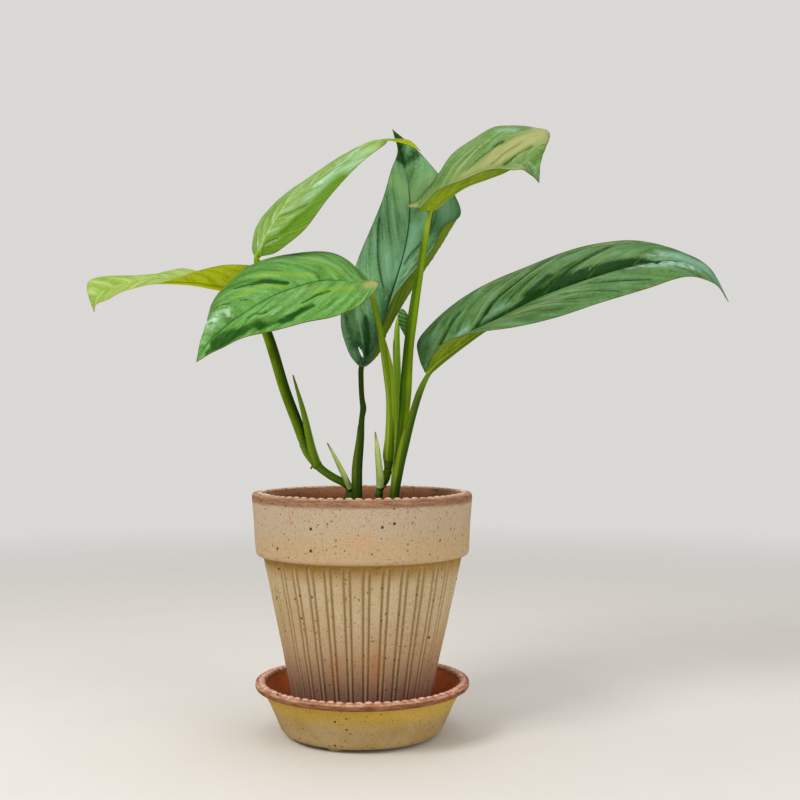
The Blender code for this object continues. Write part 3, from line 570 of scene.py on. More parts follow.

# Each leaf: its record slot, the looks of its two faces, and its stalk's look as stem_finish takes it;
# the lines of its margins and midrib from base to tip, and its stalks as (x, y, z, radius) points.
# Its measures: bulge, how far each half rises, and neck, the keel's radius at the base; rounded, the
# share of the blade in which its base rounds; veins, the number of side veins, and lean, how far they
# lean to the tip on the left and right; swell, waves and groove, the heights of its pleats, its waves
# and its midrib; rib_seen, where the midrib's line shows; sheath, the heights between which a sheath
# wraps its stalk; fold, the roll of its right half; hole, a slit's two ends and half width; seed, for
# its noise. Its marks by kind: each is its amount, its width in millimetres, and the (u, v) places
# that it runs through, in hundredths, where u is 0 at the base and 100 at the tip, and v is -100 at
# the left margin and 100 at the right one.
# Of these kinds, valleys and the dark marks are painted shade, the sheen marks painted sheen, the glint
# marks painted highlights, and one mark painted light shining through the blade; ridges are paler, partly as
# a painted highlight.
LEAVES = {
    "leaf_far_left": {
        "slot": "leaf_pale", "faces": ("leaf_far_top", "leaf_far_underside"),
        "stalk": ("stalk_far_left", (118, 146, 6), (40, 66, 0), (118, 150, 10), (196, 204, 20), (0.0, 1.0)),
        "bulge": 0.08, "neck": 1.7, "veins": 9, "lean": (0.2, 0.2), "swell": 0.5, "seed": 1, "groove": 0.2,
        "sheath": (150, 186),
        "left": [(-63, 2, 294), (-72, -1, 297), (-86, -5, 297), (-99, -9, 293), (-111, -12, 289),
            (-124, -14, 285), (-136, -13, 283), (-149, -11, 279), (-160, -7, 275), (-169, -2, 272),
            (-171, 0, 267)],
        "midrib": [(-76, 12, 287), (-82, 11, 285), (-92, 10, 285), (-104, 9, 287), (-116, 8, 288),
            (-129, 7, 288), (-140, 6, 287), (-152, 5, 286), (-162, 4, 283), (-170, 2, 278), (-171, 0, 267)],
        "right": [(-66, 22, 293), (-78, 26, 296), (-92, 30, 297), (-106, 31, 298), (-118, 30, 298),
            (-131, 27, 296), (-144, 23, 294), (-158, 18, 293), (-172, 13, 291), (-178, 8, 285),
            (-171, 0, 267)],
        "stalks": [[(-62.5, 7.5, 256, 1.8), (-68, 10, 268, 1.8), (-72.5, 12, 279, 1.7)],
            [(-38.1, 2, 186.3, 3.3), (-41.5, 2.5, 196, 3.4), (-50, 5, 218, 3.4), (-58, 7, 244, 3.4),
            (-63.5, 8, 260, 3.1), (-66, 9, 270, 2.7), (-66, 9, 275, 2.5)]],
        "marks": {
            "deep": [(0.4, 2.0, 80, 60, 70, 72, 60, 55), (0.9, 0.7, 63, -22, 60, -32, 57, -44)],
            "milky": [(0.6, 3.0, 80, -20, 70, -20, 58, -50)],
            "valley": [(0.3, 0.6, 36, -90, 33, -50, 26, -30), (0.3, 0.6, 19, -65, 17, -38, 18, -10)]},
    },
    "leaf_front_left": {
        "slot": "leaf_mid", "faces": ("leaf_mid_top", "leaf_underside"),
        "stalk": ("stalk_front", (136, 158, 26), (92, 126, 10), (152, 174, 50)),
        "bulge": 0.08, "neck": 1.5, "rounded": 0.012, "veins": 9, "lean": (0.3, 0.38), "swell": 0.45,
        "waves": 1.0, "seed": 2, "sheath": (173, 258),
        "left": [(11, -26, 284), (9, -34, 276), (-1, -42, 267), (-17, -47, 260), (-35, -51, 256),
            (-54, -54, 251), (-70, -55, 246), (-83, -54, 241), (-92, -52, 236), (-97, -50, 233)],
        "midrib": [(2, -18, 284), (-6, -20, 284), (-15, -22, 285), (-27, -25, 284), (-40, -28, 280),
            (-54, -32, 274), (-68, -36, 265), (-81, -40, 255), (-91, -45, 244), (-97, -50, 233)],
        "right": [(5, -6, 284), (0, 2, 293), (-9, 4, 301), (-23, 4, 305), (-40, 1, 305), (-61, -4, 299),
            (-79, -12, 289), (-91, -24, 273), (-95, -38, 254), (-97, -50, 233)],
        "stalks": [[(16.5, 0, 172.8, 3.0), (16.6, 0, 177, 3.3), (17.5, -1, 190, 2.7), (17.5, -4, 211, 2.1),
            (15.5, -8, 230, 2.1), (12.7, -13, 249, 1.9), (10, -16, 262, 1.7), (7, -18, 274, 1.6)],
            [(18.5, 0, 186, 1.8), (19.5, -4, 211, 2.0), (18.5, -8, 228, 1.6), (16.3, -12, 241, 0.9),
            (14, -13, 250, 0.4)]],
        "marks": {
            "valley": [(0.8, 1.2, 66, 70, 62, 57, 56, 38, 50, 20, 46, 8),
                (0.5, 0.9, 68, 30, 66, 24, 64, 16), (0.5, 0.8, 78, 74, 74, 50, 70, 32),
                (0.9, 1.3, 41, -56, 36, -49, 33, -44, 27, -43),
                (1.1, 2.0, 46, -86, 41, -76, 38, -71, 33, -66),
                (0.6, 1.5, 64, -46, 60, -43, 56, -52, 52, -54),
                (0.6, 2.2, 54, -90, 49, -84, 44, -82, 39, -88),
                (0.8, 3.0, 84, -60, 78, -72, 71, -80, 64, -80, 57, -78)],
            "deep": [(1.0, 1.7, 61, 48, 56, 39, 53, 27, 50, 17, 47, 10),
                (0.45, 6.0, 86, 75, 72, 86, 62, 88, 52, 90, 42, 92, 34, 95),
                (0.6, 3.0, 0, 30, 5, 50, 10, 75, 16, 90), (0.9, 1.5, 45, -82, 41, -74, 36, -68),
                (0.7, 3.0, 86, -40, 80, -45, 72, -55, 64, -62),
                (0.8, 3.6, 90, -75, 78, -86, 68, -84, 58, -80, 50, -74), (0.9, 0.8, 80, 58, 79, 46, 78, 30),
                (0.7, 0.9, 84, 62, 82, 40, 80, 20)],
            "sunny": [(0.5, 3.0, 59, 60, 51, 44, 43, 26, 32, 7), (0.45, 2.8, 66, 48, 58, 30, 52, 15, 46, 3),
                (0.45, 4.2, 44, 72, 34, 52, 26, 30, 18, 12), (0.4, 1.8, 71, 47, 64, 35, 59, 21),
                (0.5, 4.0, 40, -30, 30, -40, 22, -40, 12, -50), (0.4, 3.0, 70, 90, 60, 94, 48, 96, 38, 97)],
            "milky": [(0.5, 2.5, 45, 92, 38, 72, 28, 48, 18, 28), (0.7, 6.0, 72, 30, 80, 50, 86, 60)],
            "ridge": [(0.5, 0.7, 75, 58, 71, 46, 67, 38, 62, 22), (0.5, 0.7, 80, 93, 76, 60, 72, 33),
                (0.4, 0.7, 73, 80, 69, 68, 65, 56), (0.3, 0.7, 43, -66, 38, -58, 34, -54, 29, -53),
                (0.6, 1.0, 56, -66, 53, -62, 50, -56, 47, -50)],
            "gloss": [(0.5, 0.9, 51, -66, 49, -60, 47, -55), (0.7, 4.5, 70, 10, 76, 28, 82, 50, 90, 70)],
            "crumple": [(0.8, 7.0, 70, 20, 78, 50, 86, 60)],
            "tan": [(1.0, 6.0, 17, -45, 8, -62, 0, -95, 0, -160), (0.5, 2.0, 43, -26, 39, -20, 32, -16)]},
    },
    "leaf_upper_left": {
        "slot": "leaf_pale", "faces": ("leaf_pale_top", "leaf_upper_left_underside"),
        "stalk": ("stalk_upper_left", (142, 168, 26), (100, 138, 8), (140, 168, 24), (134, 166, 14)),
        "bulge": 0.05, "neck": 1.4, "veins": 9, "lean": (0.3, 0.1), "swell": 0.6, "seed": 3,
        "groove": -0.15, "sheath": (0, 1),
        "left": [(-72, 12, 305), (-73, 20, 316), (-71, 27, 325), (-64.5, 30, 336), (-53.5, 30, 347.5),
            (-37.5, 27, 357.5), (-20, 21, 367.5), (-3, 13, 375), (10, 5, 377.3), (25, 0, 375),
            (37, -8, 368)],
        "midrib": [(-67, 8, 303), (-66, 8, 310), (-62, 7, 317), (-56, 6, 327), (-47, 4, 339), (-34, 3, 348),
            (-20, 1, 359), (-4, -2, 370), (11, -4, 376), (26, -6, 375), (37, -8, 368)],
        "right": [(-64, 2, 303), (-55, -6, 304), (-47, -12, 308), (-35, -16, 318), (-21, -19, 336),
            (-8, -20, 350), (4, -18, 362), (14, -13, 371), (18, -12, 373), (29, -12, 374), (37, -8, 368)],
        "stalks": [[(-66, 9, 275.4, 2.2), (-66, 9, 282, 2.3), (-66.5, 9, 290, 2.9), (-67, 9.5, 297, 3.0)]],
        "marks": {
            "ridge": [(0.4, 0.6, 20, 5, 26, -10, 33, -28), (0.4, 0.6, 30, 7, 31, 29, 31, 48),
                (0.4, 0.7, 16, -45, 23, -58, 33, -60), (0.4, 0.7, 34, -6, 42, -12, 48, -22)],
            "valley": [(0.8, 0.9, 32, 5, 33, 29, 34, 50, 34, 68), (0.7, 0.9, 10, 10, 17, 33, 20, 60),
                (0.6, 0.8, 45, -1, 47, 10, 48, 19), (0.7, 0.9, 60, -12, 62, 2, 64, 12)],
            "sunny": [(1.6, 7.0, -10, 40, 0, 70, 12, 84, 24, 90, 34, 94, 46, 98),
                (1.2, 6.0, 6, 50, 16, 60, 24, 68, 32, 80), (0.5, 3.0, 4, 30, 12, 30, 20, 30),
                (0.5, 6.0, -4, -50, 10, -60, 26, -55, 38, -50)],
            "deep": [(0.7, 1.8, 0, 40, 8, 42, 16, 50), (0.7, 2.4, 20, 50, 26, 58, 31, 64),
                (0.6, 0.9, 40, 20, 42, 40, 43, 60), (0.6, 1.0, 52, 20, 55, 40, 56, 66),
                (0.5, 0.9, 62, 30, 66, 50, 68, 70), (0.5, 1.2, 72, 10, 78, 30, 82, 50),
                (0.6, 3.0, 56, 100, 66, 96, 76, 94)],
            "gloss": [(0.35, 2.0, 9, 30, 17, 50, 23, 72), (0.7, 0.6, 3, -17, 9, -17, 13, -31),
                (0.5, 2.2, 40, 34, 46, 48, 52, 50), (0.4, 1.6, 60, 34, 66, 36, 72, 30)],
            "milky": [(0.55, 7.0, 34, 36, 40, 56, 44, 66, 54, 70, 68, 60, 80, 50),
                (0.7, 3.0, 44, 40, 54, 40, 66, 20, 72, 10)],
            "tan": [(0.5, 4.0, 4, -80, 14, -80, 26, -70), (0.5, 2.5, 30, -90, 50, -90, 70, -80)],
            # Painted light shining through the thin tip
            "bright": [(1.6, 9.0, 66, 0, 80, 0, 92, 0, 100, 0, 140, 0)]},
    },
    "leaf_back": {
        "slot": "leaf_dark", "faces": ("leaf_back_top", "leaf_back_underside"),
        "stalk": ("stalk_back", (58, 84, 14), (40, 62, 6), (96, 112, 24), (62, 84, 20)),
        "bulge": 0.06, "neck": 1.7, "veins": 8, "lean": (0.33, 0.4), "swell": 0.5, "seed": 4,
        "rib_seen": (0.38, 0.8), "groove": 0.9, "sheath": (150, 195),
        "hole": ((0.085, -0.25), (0.13, -0.5), 1.1),
        "left": [(-4, 12, 233), (-10, 8, 244), (-14, 7, 259), (-13, 8, 275), (-7, 11, 292), (-1, 14, 309),
            (6, 17, 326), (13, 19, 344), (18, 21, 362), (22, 20, 374), (19, 17, 388)],
        "midrib": [(-1, 14, 233), (3, 15, 239), (8, 17, 247), (13, 19, 261), (17, 21, 276), (22, 23, 292),
            (27, 25, 310), (30, 26, 329), (30, 26, 348), (26, 24, 370), (19, 17, 388)],
        "fold": [(2, 11, 233), (11, 12, 243), (17, 14, 258), (30, 17, 282), (44, 20, 304), (55, 23, 322),
            (54, 26, 329), (45, 27, 340), (40, 26, 357), (31, 23, 372), (19, 17, 388)],
        "right": [(3, 8, 235), (9, 6, 245), (14, 7, 263), (23, 8, 282), (43, 11, 306), (52, 14, 324),
            (63, 20, 333), (59, 24, 348), (48, 25, 362), (36, 23, 375), (19, 17, 388)],
        "stalks": [[(-3.2, -3.6, 124, 3.0), (-3.2, -3.6, 138, 3.1), (-3.2, -3, 152, 3.2),
            (-3.2, -1, 168, 3.2), (-1.4, 2, 186, 2.4), (-0.6, 5, 199, 1.8), (0.3, 6, 206, 2.0),
            (-0.6, 7, 213, 1.7), (-1.2, 10, 223, 1.7)]],
        "marks": {
            "valley": [(0.9, 1.0, 58, -92, 54, -85, 49, -66, 45, -45, 41, -14),
                (0.8, 0.9, 53, 2, 56, 6, 57, 12, 58, 22), (0.7, 0.9, 59, 22, 62, 32, 65, 42, 66, 62),
                (0.4, 0.8, 48, 5, 50, 10, 52, 16), (0.6, 1.4, 28, -49, 22, -32, 17, -20, 10, -10)],
            "ridge": [(0.4, 1.0, 54, -74, 50, -56, 46, -36, 43, -16), (0.5, 0.8, 28, -74, 21, -51, 15, -35),
                (0.3, 0.8, 68, -80, 65, -42, 63, -14), (0.3, 0.8, 78, 16, 78, 49, 74, 88)],
            "gloss": [(1.0, 0.9, 46, 6, 49, 9, 52, 13), (0.7, 0.8, 38, -14, 42, -10, 46, -5)],
            "milky": [(0.45, 6.0, 58, -44, 49, -30, 40, -10), (0.5, 4.0, 60, 20, 66, 30, 74, 40),
                (0.6, 9.0, 46, 40, 56, 60, 66, 72, 76, 86), (0.4, 5.0, 72, -60, 78, -30, 80, 20),
                (0.7, 4.0, 70, 10, 62, 6, 54, -2, 46, -6)],
            "deep": [(0.8, 4.5, 84, -160, 88, -60, 89, 0, 88, 60, 84, 160),
                (0.8, 1.8, 84, -100, 86, -70, 87.5, -40, 89, 10), (0.6, 7.5, 94, -160, 95, 0, 94, 160),
                (1.0, 6.0, 97, -240, 98, 0, 97, 240), (0.75, 6.5, 32, -45, 20, -35, 6, -20, -4, 10),
                (0.6, 5.0, 28, -85, 18, -80, 8, -60)],
            "tan": [(0.75, 7.0, 68, -140, 77, -40, 78, 30, 72, 120), (0.3, 4.0, 62, -85, 68, -60, 72, -20),
                (0.8, 0.7, 7, -12, 11, -20, 14, -34)]},
    },
    "leaf_right": {
        "slot": "leaf_dark", "faces": ("leaf_dark_top", "leaf_underside"),
        "stalk": ("stalk_right", (92, 112, 16), (48, 80, 4), (128, 150, 36), (100, 128, 24)),
        "bulge": 0.08, "neck": 1.4, "veins": 10, "lean": (0.17, 0.2), "swell": 0.5, "seed": 5,
        "groove": 1.0, "sheath": (150, 194),
        "left": [(35, 0, 239), (36, 10, 251), (50, 16, 267), (71, 20, 282), (97, 22, 296), (126, 22, 307),
            (155, 19, 313), (180, 14, 314), (206, 6, 307), (221, -2, 294), (231, -8, 273)],
        "midrib": [(40, -6, 228.5), (46.5, -8, 235), (58.5, -10, 244), (72.5, -12, 254), (90, -14, 264.5),
            (114, -15, 276.5), (141, -15, 286.5), (170, -13, 295), (200, -11, 298), (220, -9, 289),
            (231, -8, 273)],
        "right": [(41, -12, 231), (44, -22, 238), (54, -30, 247), (71, -38, 251), (92, -41, 254),
            (118, -41, 261), (145, -38, 270), (175, -31, 279), (202, -22, 287), (220, -14, 284),
            (231, -8, 273)],
        "stalks": [[(19.5, -9, 124, 2.9), (19.5, -9, 138, 2.9), (20.6, -9, 152, 2.9), (23.3, -9, 168, 3.0),
            (27, -9, 184, 2.9), (31.3, -8.5, 200, 2.4), (36.3, -7.5, 216, 2.1)]],
        "marks": {
            "valley": [(0.8, 1.6, 14, -22, 18, -39, 21, -52, 24, -64),
                (1.1, 1.3, 27, -2, 30, -10, 33, -22, 35, -38, 39, -51, 41, -70, 45, -88),
                (1.3, 1.7, 45, -2, 49, -10, 52, -22, 54, -40, 57, -62, 59, -84),
                (0.6, 0.8, 39, -12, 41, -28, 44, -48, 48, -72), (0.5, 0.8, 33, 30, 39, 45, 46, 60),
                (0.6, 0.9, 58, 16, 61, 45, 65, 71, 67, 80), (0.5, 0.8, 50, 28, 55, 53, 58, 80, 58, 93),
                (0.4, 0.7, 42, 30, 47, 55, 51, 85)],
            "ridge": [(0.4, 0.8, 12, -29, 16, -46, 18, -61),
                (0.6, 0.7, 28, -10, 31, -25, 33, -44, 36, -66, 40, -92),
                (0.6, 0.7, 34, -10, 37, -30, 41, -50, 46, -80),
                (0.5, 0.6, 42, -14, 44, -30, 46, -52, 50, -75),
                (0.5, 0.6, 55, -15, 57, -34, 60, -55, 64, -72), (0.5, 0.6, 59, -12, 61, -35, 64, -55),
                (0.4, 0.6, 24, -60, 29, -75, 35, -86), (0.5, 0.6, 49, -30, 52, -48, 55, -68, 57, -84),
                (0.4, 0.6, 20, -30, 24, -50, 28, -66), (0.5, 0.8, 38, 40, 47, 46, 55, 56),
                (0.5, 0.7, 56, 14, 62, 18, 66, 26), (0.5, 0.7, 47, 20, 53, 30, 59, 40)],
            "deep": [(1.0, 0.9, 4, -1, 24, -1, 44, -1, 64, -1, 86, -1),
                (1.0, 2.0, 16, -3, 28, -3, 38, -3, 48, -3), (1.0, 1.4, 40, -2, 52, -2, 64, -2, 76, -2),
                (1.0, 2.6, 43, -5, 52, -8, 60, -8, 72, -5), (1.0, 4.0, 50, -14, 58, -18, 66, -14, 74, -8),
                (0.9, 3.2, 44, -10, 47, -22, 50, -38), (0.6, 3.0, 33, -14, 36, -26, 40, -42),
                (0.5, 7.0, -6, -40, 3, -45, 10, -50, 16, -70), (0.6, 6.0, -5, 50, 5, 70, 13, 90)],
            "tan": [(0.8, 2.6, 24, -90, 38, -90, 46, -90, 55, -88, 66, -82),
                (0.45, 6.0, 52, 50, 44, 50, 34, 45, 22, 30), (0.8, 0.9, 73, 20, 75, 14, 76, 28)],
            "milky": [(0.9, 2.6, 20, -14, 24, -16, 29, -15), (0.7, 2.4, 30, -13, 36, -15, 42, -15),
                (0.4, 8.0, 5, -60, 12, -60, 20, -50), (0.7, 7.0, 70, 35, 76, 10, 84, 5, 93, 0, 100, 0),
                (0.8, 4.5, 70, -50, 76, -40, 82, -30, 90, -25)],
            "gloss": [(0.6, 1.0, 21, -13, 24, -16, 27, -15), (0.5, 5.0, 66, 10, 73, 15, 79, 35, 84, 60),
                (0.5, 3.5, 70, -20, 75, -30, 80, -25)],
            "crumple": [(0.9, 6.0, 72, 0, 76, 20, 80, 50)]},
    },
    "leaf_upper_right": {
        "slot": "leaf_mid", "faces": ("leaf_tan_top", "leaf_upper_right_underside"),
        "stalk": ("stalk_upper_right", (36, 68, 0), (118, 150, 8), (72, 106, 8)),
        "bulge": 0.08, "neck": 1.2, "rounded": 0.012, "veins": 9, "lean": (0.5, 0.3), "swell": 0.6,
        "seed": 6, "sheath": (150, 308),
        "left": [(28, 6, 335), (36, 16, 343), (48, 22, 359), (58, 26, 373), (71, 27, 383), (85, 26, 392),
            (98, 23, 392), (112, 18, 389), (120, 10, 383), (113, -2, 365), (111, -12, 347)],
        "midrib": [(42, -2, 331.5), (47, -3, 335.7), (54, -4, 341), (64, -5, 347.2), (76, -6, 351.4),
            (86, -7, 354.5), (94, -8, 358), (102, -9, 360), (107, -10, 358), (110, -11, 352),
            (111, -12, 347)],
        "right": [(34, -9, 329), (39, -17, 333), (47, -23, 340), (58, -27, 345), (69, -29, 348),
            (81, -29, 351), (92, -26, 353), (99, -21, 354), (104, -16, 352), (108, -13, 350),
            (111, -12, 347)],
        "stalks": [[(20.5, 1, 124, 2.4), (20.5, 1, 138, 2.4), (21.3, 1, 154, 2.4), (23.8, 1, 178, 2.5),
            (25.7, 1, 194, 2.9), (26.9, 1, 205, 3.2), (27.7, 0.5, 218, 3.6), (29.4, 0, 243, 3.1),
            (31.8, -1, 262, 3.0), (34.3, -1, 279, 2.7), (37, -2, 295, 2.2), (40, -2, 314, 2.0)]],
        "marks": {
            "ridge": [(0.6, 0.7, 26, -24, 32, -41, 36, -54, 40, -61, 46, -66),
                (0.5, 0.6, 42, -16, 50, -25, 58, -35, 65, -48, 72, -66),
                (0.5, 0.6, 48, -9, 57, -19, 65, -32, 74, -56), (0.5, 0.5, 60, -6, 66, -22, 73, -49),
                (0.5, 0.5, 70, -11, 74, -31, 77, -57)],
            "valley": [(0.6, 1.2, 31, -20, 36, -31, 41, -38, 47, -44, 54, -52),
                (0.9, 1.2, 52, -6, 58, -12, 64, -20, 69, -30, 72, -42),
                (0.4, 0.9, 44, -14, 52, -23, 60, -36, 66, -50)],
            "deep": [(1.0, 1.8, 46, -45, 50, -48, 55, -53), (0.35, 3.0, 32, -40, 38, -52, 45, -60),
                (0.45, 3.0, 14, -45, 23, -58, 30, -72), (0.8, 1.2, 55, -7, 60, -12, 64, -17)],
            "sunny": [(0.8, 2.0, 39, -76, 42, -82, 45, -88)],
            "tan": [(0.8, 6.0, 20, -12, 42, -22, 50, -31, 60, -46, 68, -80, 72, -120),
                (0.8, 8.0, 40, -10, 56, -22, 66, -40, 76, -70, 82, -120),
                (1.0, 3.4, 60, -90, 66, -98, 74, -98), (1.0, 4.5, 5, -50, 1, -80, 0, -160),
                (1.0, 2.6, 2, 70, 12, 88, 25, 94, 40, 95, 56, 97, 72, 97)],
            "gloss": [(0.8, 1.2, 72, -2, 82, 5, 90, 20)],
            "milky": [(0.8, 3.5, 70, 0, 80, 5, 90, 10), (0.9, 3.5, 44, -80, 52, -82, 60, -76)]},
    },
}

# The stems' parts as (x, y, z, radius) points
STEMS = {
    "stem_left": [
        ("crown", [(-6.8, 6, 124, 3.6), (-6.8, 6, 140, 4.8), (-6.8, 6, 148, 5.2), (-6.8, 5.6, 153.5, 3.4),
                   (-6.5, 5, 157.5, 1.6)]),
        ("internode", [(-6.8, 5.2, 151, 2.3), (-9, 3.5, 156, 2.6), (-12.5, 2.5, 158.7, 2.5),
                       (-18.6, 2, 161.8, 2.5), (-25.4, 2, 166.4, 2.5), (-30, 2, 171, 2.9),
                       (-35.3, 2, 178.4, 3.1), (-38, 2, 186, 3.2)]),
        ("cataphyll", [(-8, 1.8, 155, 1.9), (-12, -1, 164, 1.8), (-17.3, -4, 175, 1.2),
                       (-22, -6, 184, 0.4)]),
        ("sheath", [(-29.5, 1.5, 171, 2.8), (-32.5, -0.5, 181, 2.6), (-37, -2, 202, 1.8),
                    (-42, -3, 220, 0.9), (-44, -3, 227, 0.4)]),
        ("root", [(-30, 1.5, 172, 1.2), (-33, 0.5, 167.5, 0.5)]),
    ],
    "stem_middle": [
        ("internode", [(10.6, -2, 124, 2.3), (10.6, -2, 138, 2.3), (10.6, -2, 151, 2.3),
                       (12, -1.5, 156.5, 2.3), (15, -0.5, 161, 2.3), (16.2, 0, 168, 2.5),
                       (16.5, 0, 172.5, 3.1)]),
        ("cataphyll", [(11.3, -3, 156, 2.4), (11, -5.5, 165, 2.3), (9.6, -7.5, 180, 1.6),
                       (8.3, -8, 191, 0.4)]),
        ("root", [(12, -3, 156, 1.0), (15.5, -4.5, 156.5, 0.5)]),
    ],
}
YOUNG_STALK = [(20, 9.5, 124, 2.3), (20, 9.5, 138, 2.3), (20.6, 9.5, 160, 2.3), (22.3, 9.5, 192, 2.4),
               (22, 9.5, 228, 2.5), (21.8, 9, 250, 2.0), (22.5, 8.8, 262, 1.3), (24.3, 8.7, 267, 1.0)]
YOUNG_TOP, YOUNG_TIP = (25.0, 8.7, 270.0), (28.0, 8.5, 251.0)
YOUNG_PROFILE = (0.25, 0.75, 0.98, 1.0, 0.93, 0.78, 0.55, 0.28, 0.1)
YOUNG_RADIUS, YOUNG_RINGS, YOUNG_SIDES = 3.3, 60, 72


# Leaf blades

def blade_surface(leaf, u, v):
    """A blade's middle surface. v runs from -1, the left margin, to 1, the right margin."""
    reach = np.abs(v)
    along = u + VEIN_ARCH * 2 * u * (1 - u) * reach ** 1.5
    middle = curve(leaf["midrib"], along)
    right = curve(leaf["right"], along)
    margin = np.where((v < 0)[..., None], curve(leaf["left"], along), right)
    front = np.minimum(along + 0.02, 1.0)
    ahead = curve(leaf["midrib"], front) - curve(leaf["midrib"], front - 0.04)
    outward = margin - middle
    up = unit(np.cross(outward, ahead)) * np.sign(v)[..., None]
    length = np.linalg.norm(outward, axis=-1, keepdims=True)
    reach = reach[..., None]
    made = middle + outward * reach + up * leaf["bulge"] * length * 4 * reach * (1 - reach)
    if "fold" in leaf:
        rolled = (middle * ((1 - reach) * (1 - 2 * reach)) + right * (reach * (2 * reach - 1))
                  + curve(leaf["fold"], along) * (4 * reach * (1 - reach)))
        made = np.where((v > 0)[..., None], rolled, made)
    return made


def grid_normals(points):
    """Upward unit normals of a grid of rows along u and columns along v."""
    along = np.gradient(points, axis=0)
    along[-1] = points[-1] - points[-2]
    return unit(np.cross(np.gradient(points, axis=1), along))


def from_midrib(points):
    """Distance of each point from the midrib, measured over the blade along its row."""
    steps = steps_along(points, 1)
    right = np.cumsum(steps[:, HALF_COLUMNS:], axis=1)
    left = np.cumsum(steps[:, HALF_COLUMNS - 1::-1], axis=1)[:, ::-1]
    return np.concatenate([left, np.zeros((len(points), 1)), right], axis=1)


def cover(leaf, points, width, path, half):
    """How much a mark along a path of (u, v) places covers each point, from 0 to 1."""
    steps = 6 * len(path)
    where = curve(path, np.linspace(0, 1, steps + 1))
    line = blade_surface(leaf, where[:, 0], where[:, 1])
    best = np.full(points.shape[:-1], 1e9)
    share = np.zeros(points.shape[:-1])
    for k in range(steps):
        way = line[k + 1] - line[k]
        t = np.clip(((points - line[k]) @ way) / max(way @ way, 1e-9), 0, 1)
        gap = np.linalg.norm(points - line[k] - t[..., None] * way, axis=-1)
        nearer = gap < best
        best = np.where(nearer, gap, best)
        share = np.where(nearer, (k + t) / steps, share)
    fade = float(np.clip(1.6 * width / steps_along(line).sum(), 0.12, 0.4))
    ends = smooth(share, 0.0, fade) * smooth(1 - share, 0.0, fade)
    side = np.sign(np.mean(where[:, 1]))
    crosses = where[:, 1].min() < 0 < where[:, 1].max()
    same = 1.0 if crosses else np.where(half * side < -0.03, 0.0, 1.0)
    return bell(best, width) * ends * same


def vein_phase(leaf, u, v):
    """Counts side veins from the base: a whole number on each vein."""
    lean = np.where(v < 0, *leaf["lean"]) * np.abs(v) ** 1.15
    root = np.clip((u - lean) / (1 - lean), -0.3, 1.0)
    return leaf["veins"] * root + np.where(v < 0, 0.0, 0.45)


def marked(leaf, points, v):
    """The relief of a leaf's marks, and how much of each kind of colour they lay on its points."""
    relief = np.zeros_like(v)
    masks = {key: np.zeros_like(v) for key in MASKS}
    for kind, marks in leaf["marks"].items():
        for amount, width, *places in marks:
            patch = cover(leaf, points, width, np.reshape(places, (-1, 2)) / 100, v)
            # Valleys sink the blade and are painted with shade; ridges lift it and are painted paler, partly
            # vein colour and partly a painted highlight
            if kind == "valley":
                relief -= amount * patch
                masks["deep"] += min(1.0, 0.45 + 0.5 * amount) * patch
            elif kind == "ridge":
                relief += amount * patch
                masks["pale"] += min(1.0, 1.2 * amount) * patch
            elif kind == "crumple":
                relief += amount * patch * ripple(points, CRUMPLE_SIZE, leaf["seed"] + 5, 12)
            else:
                masks[kind] += amount * patch
    return relief, {key: np.clip(amounts, 0, 1) for key, amounts in masks.items()}


def in_hole(leaf, u, v):
    """Whether a place lies in the torn hole, a slit with two pointed ends."""
    start, end, half = leaf["hole"]
    way = np.subtract(end, start) * HOLE_SPREAD
    here = np.subtract((u, v), start) * HOLE_SPREAD
    t = here @ way / (way @ way)
    apart = abs(here[0] * way[1] - here[1] * way[0]) / np.linalg.norm(way)
    return 0 < t < 1 and apart < half * math.sqrt(4 * t * (1 - t))


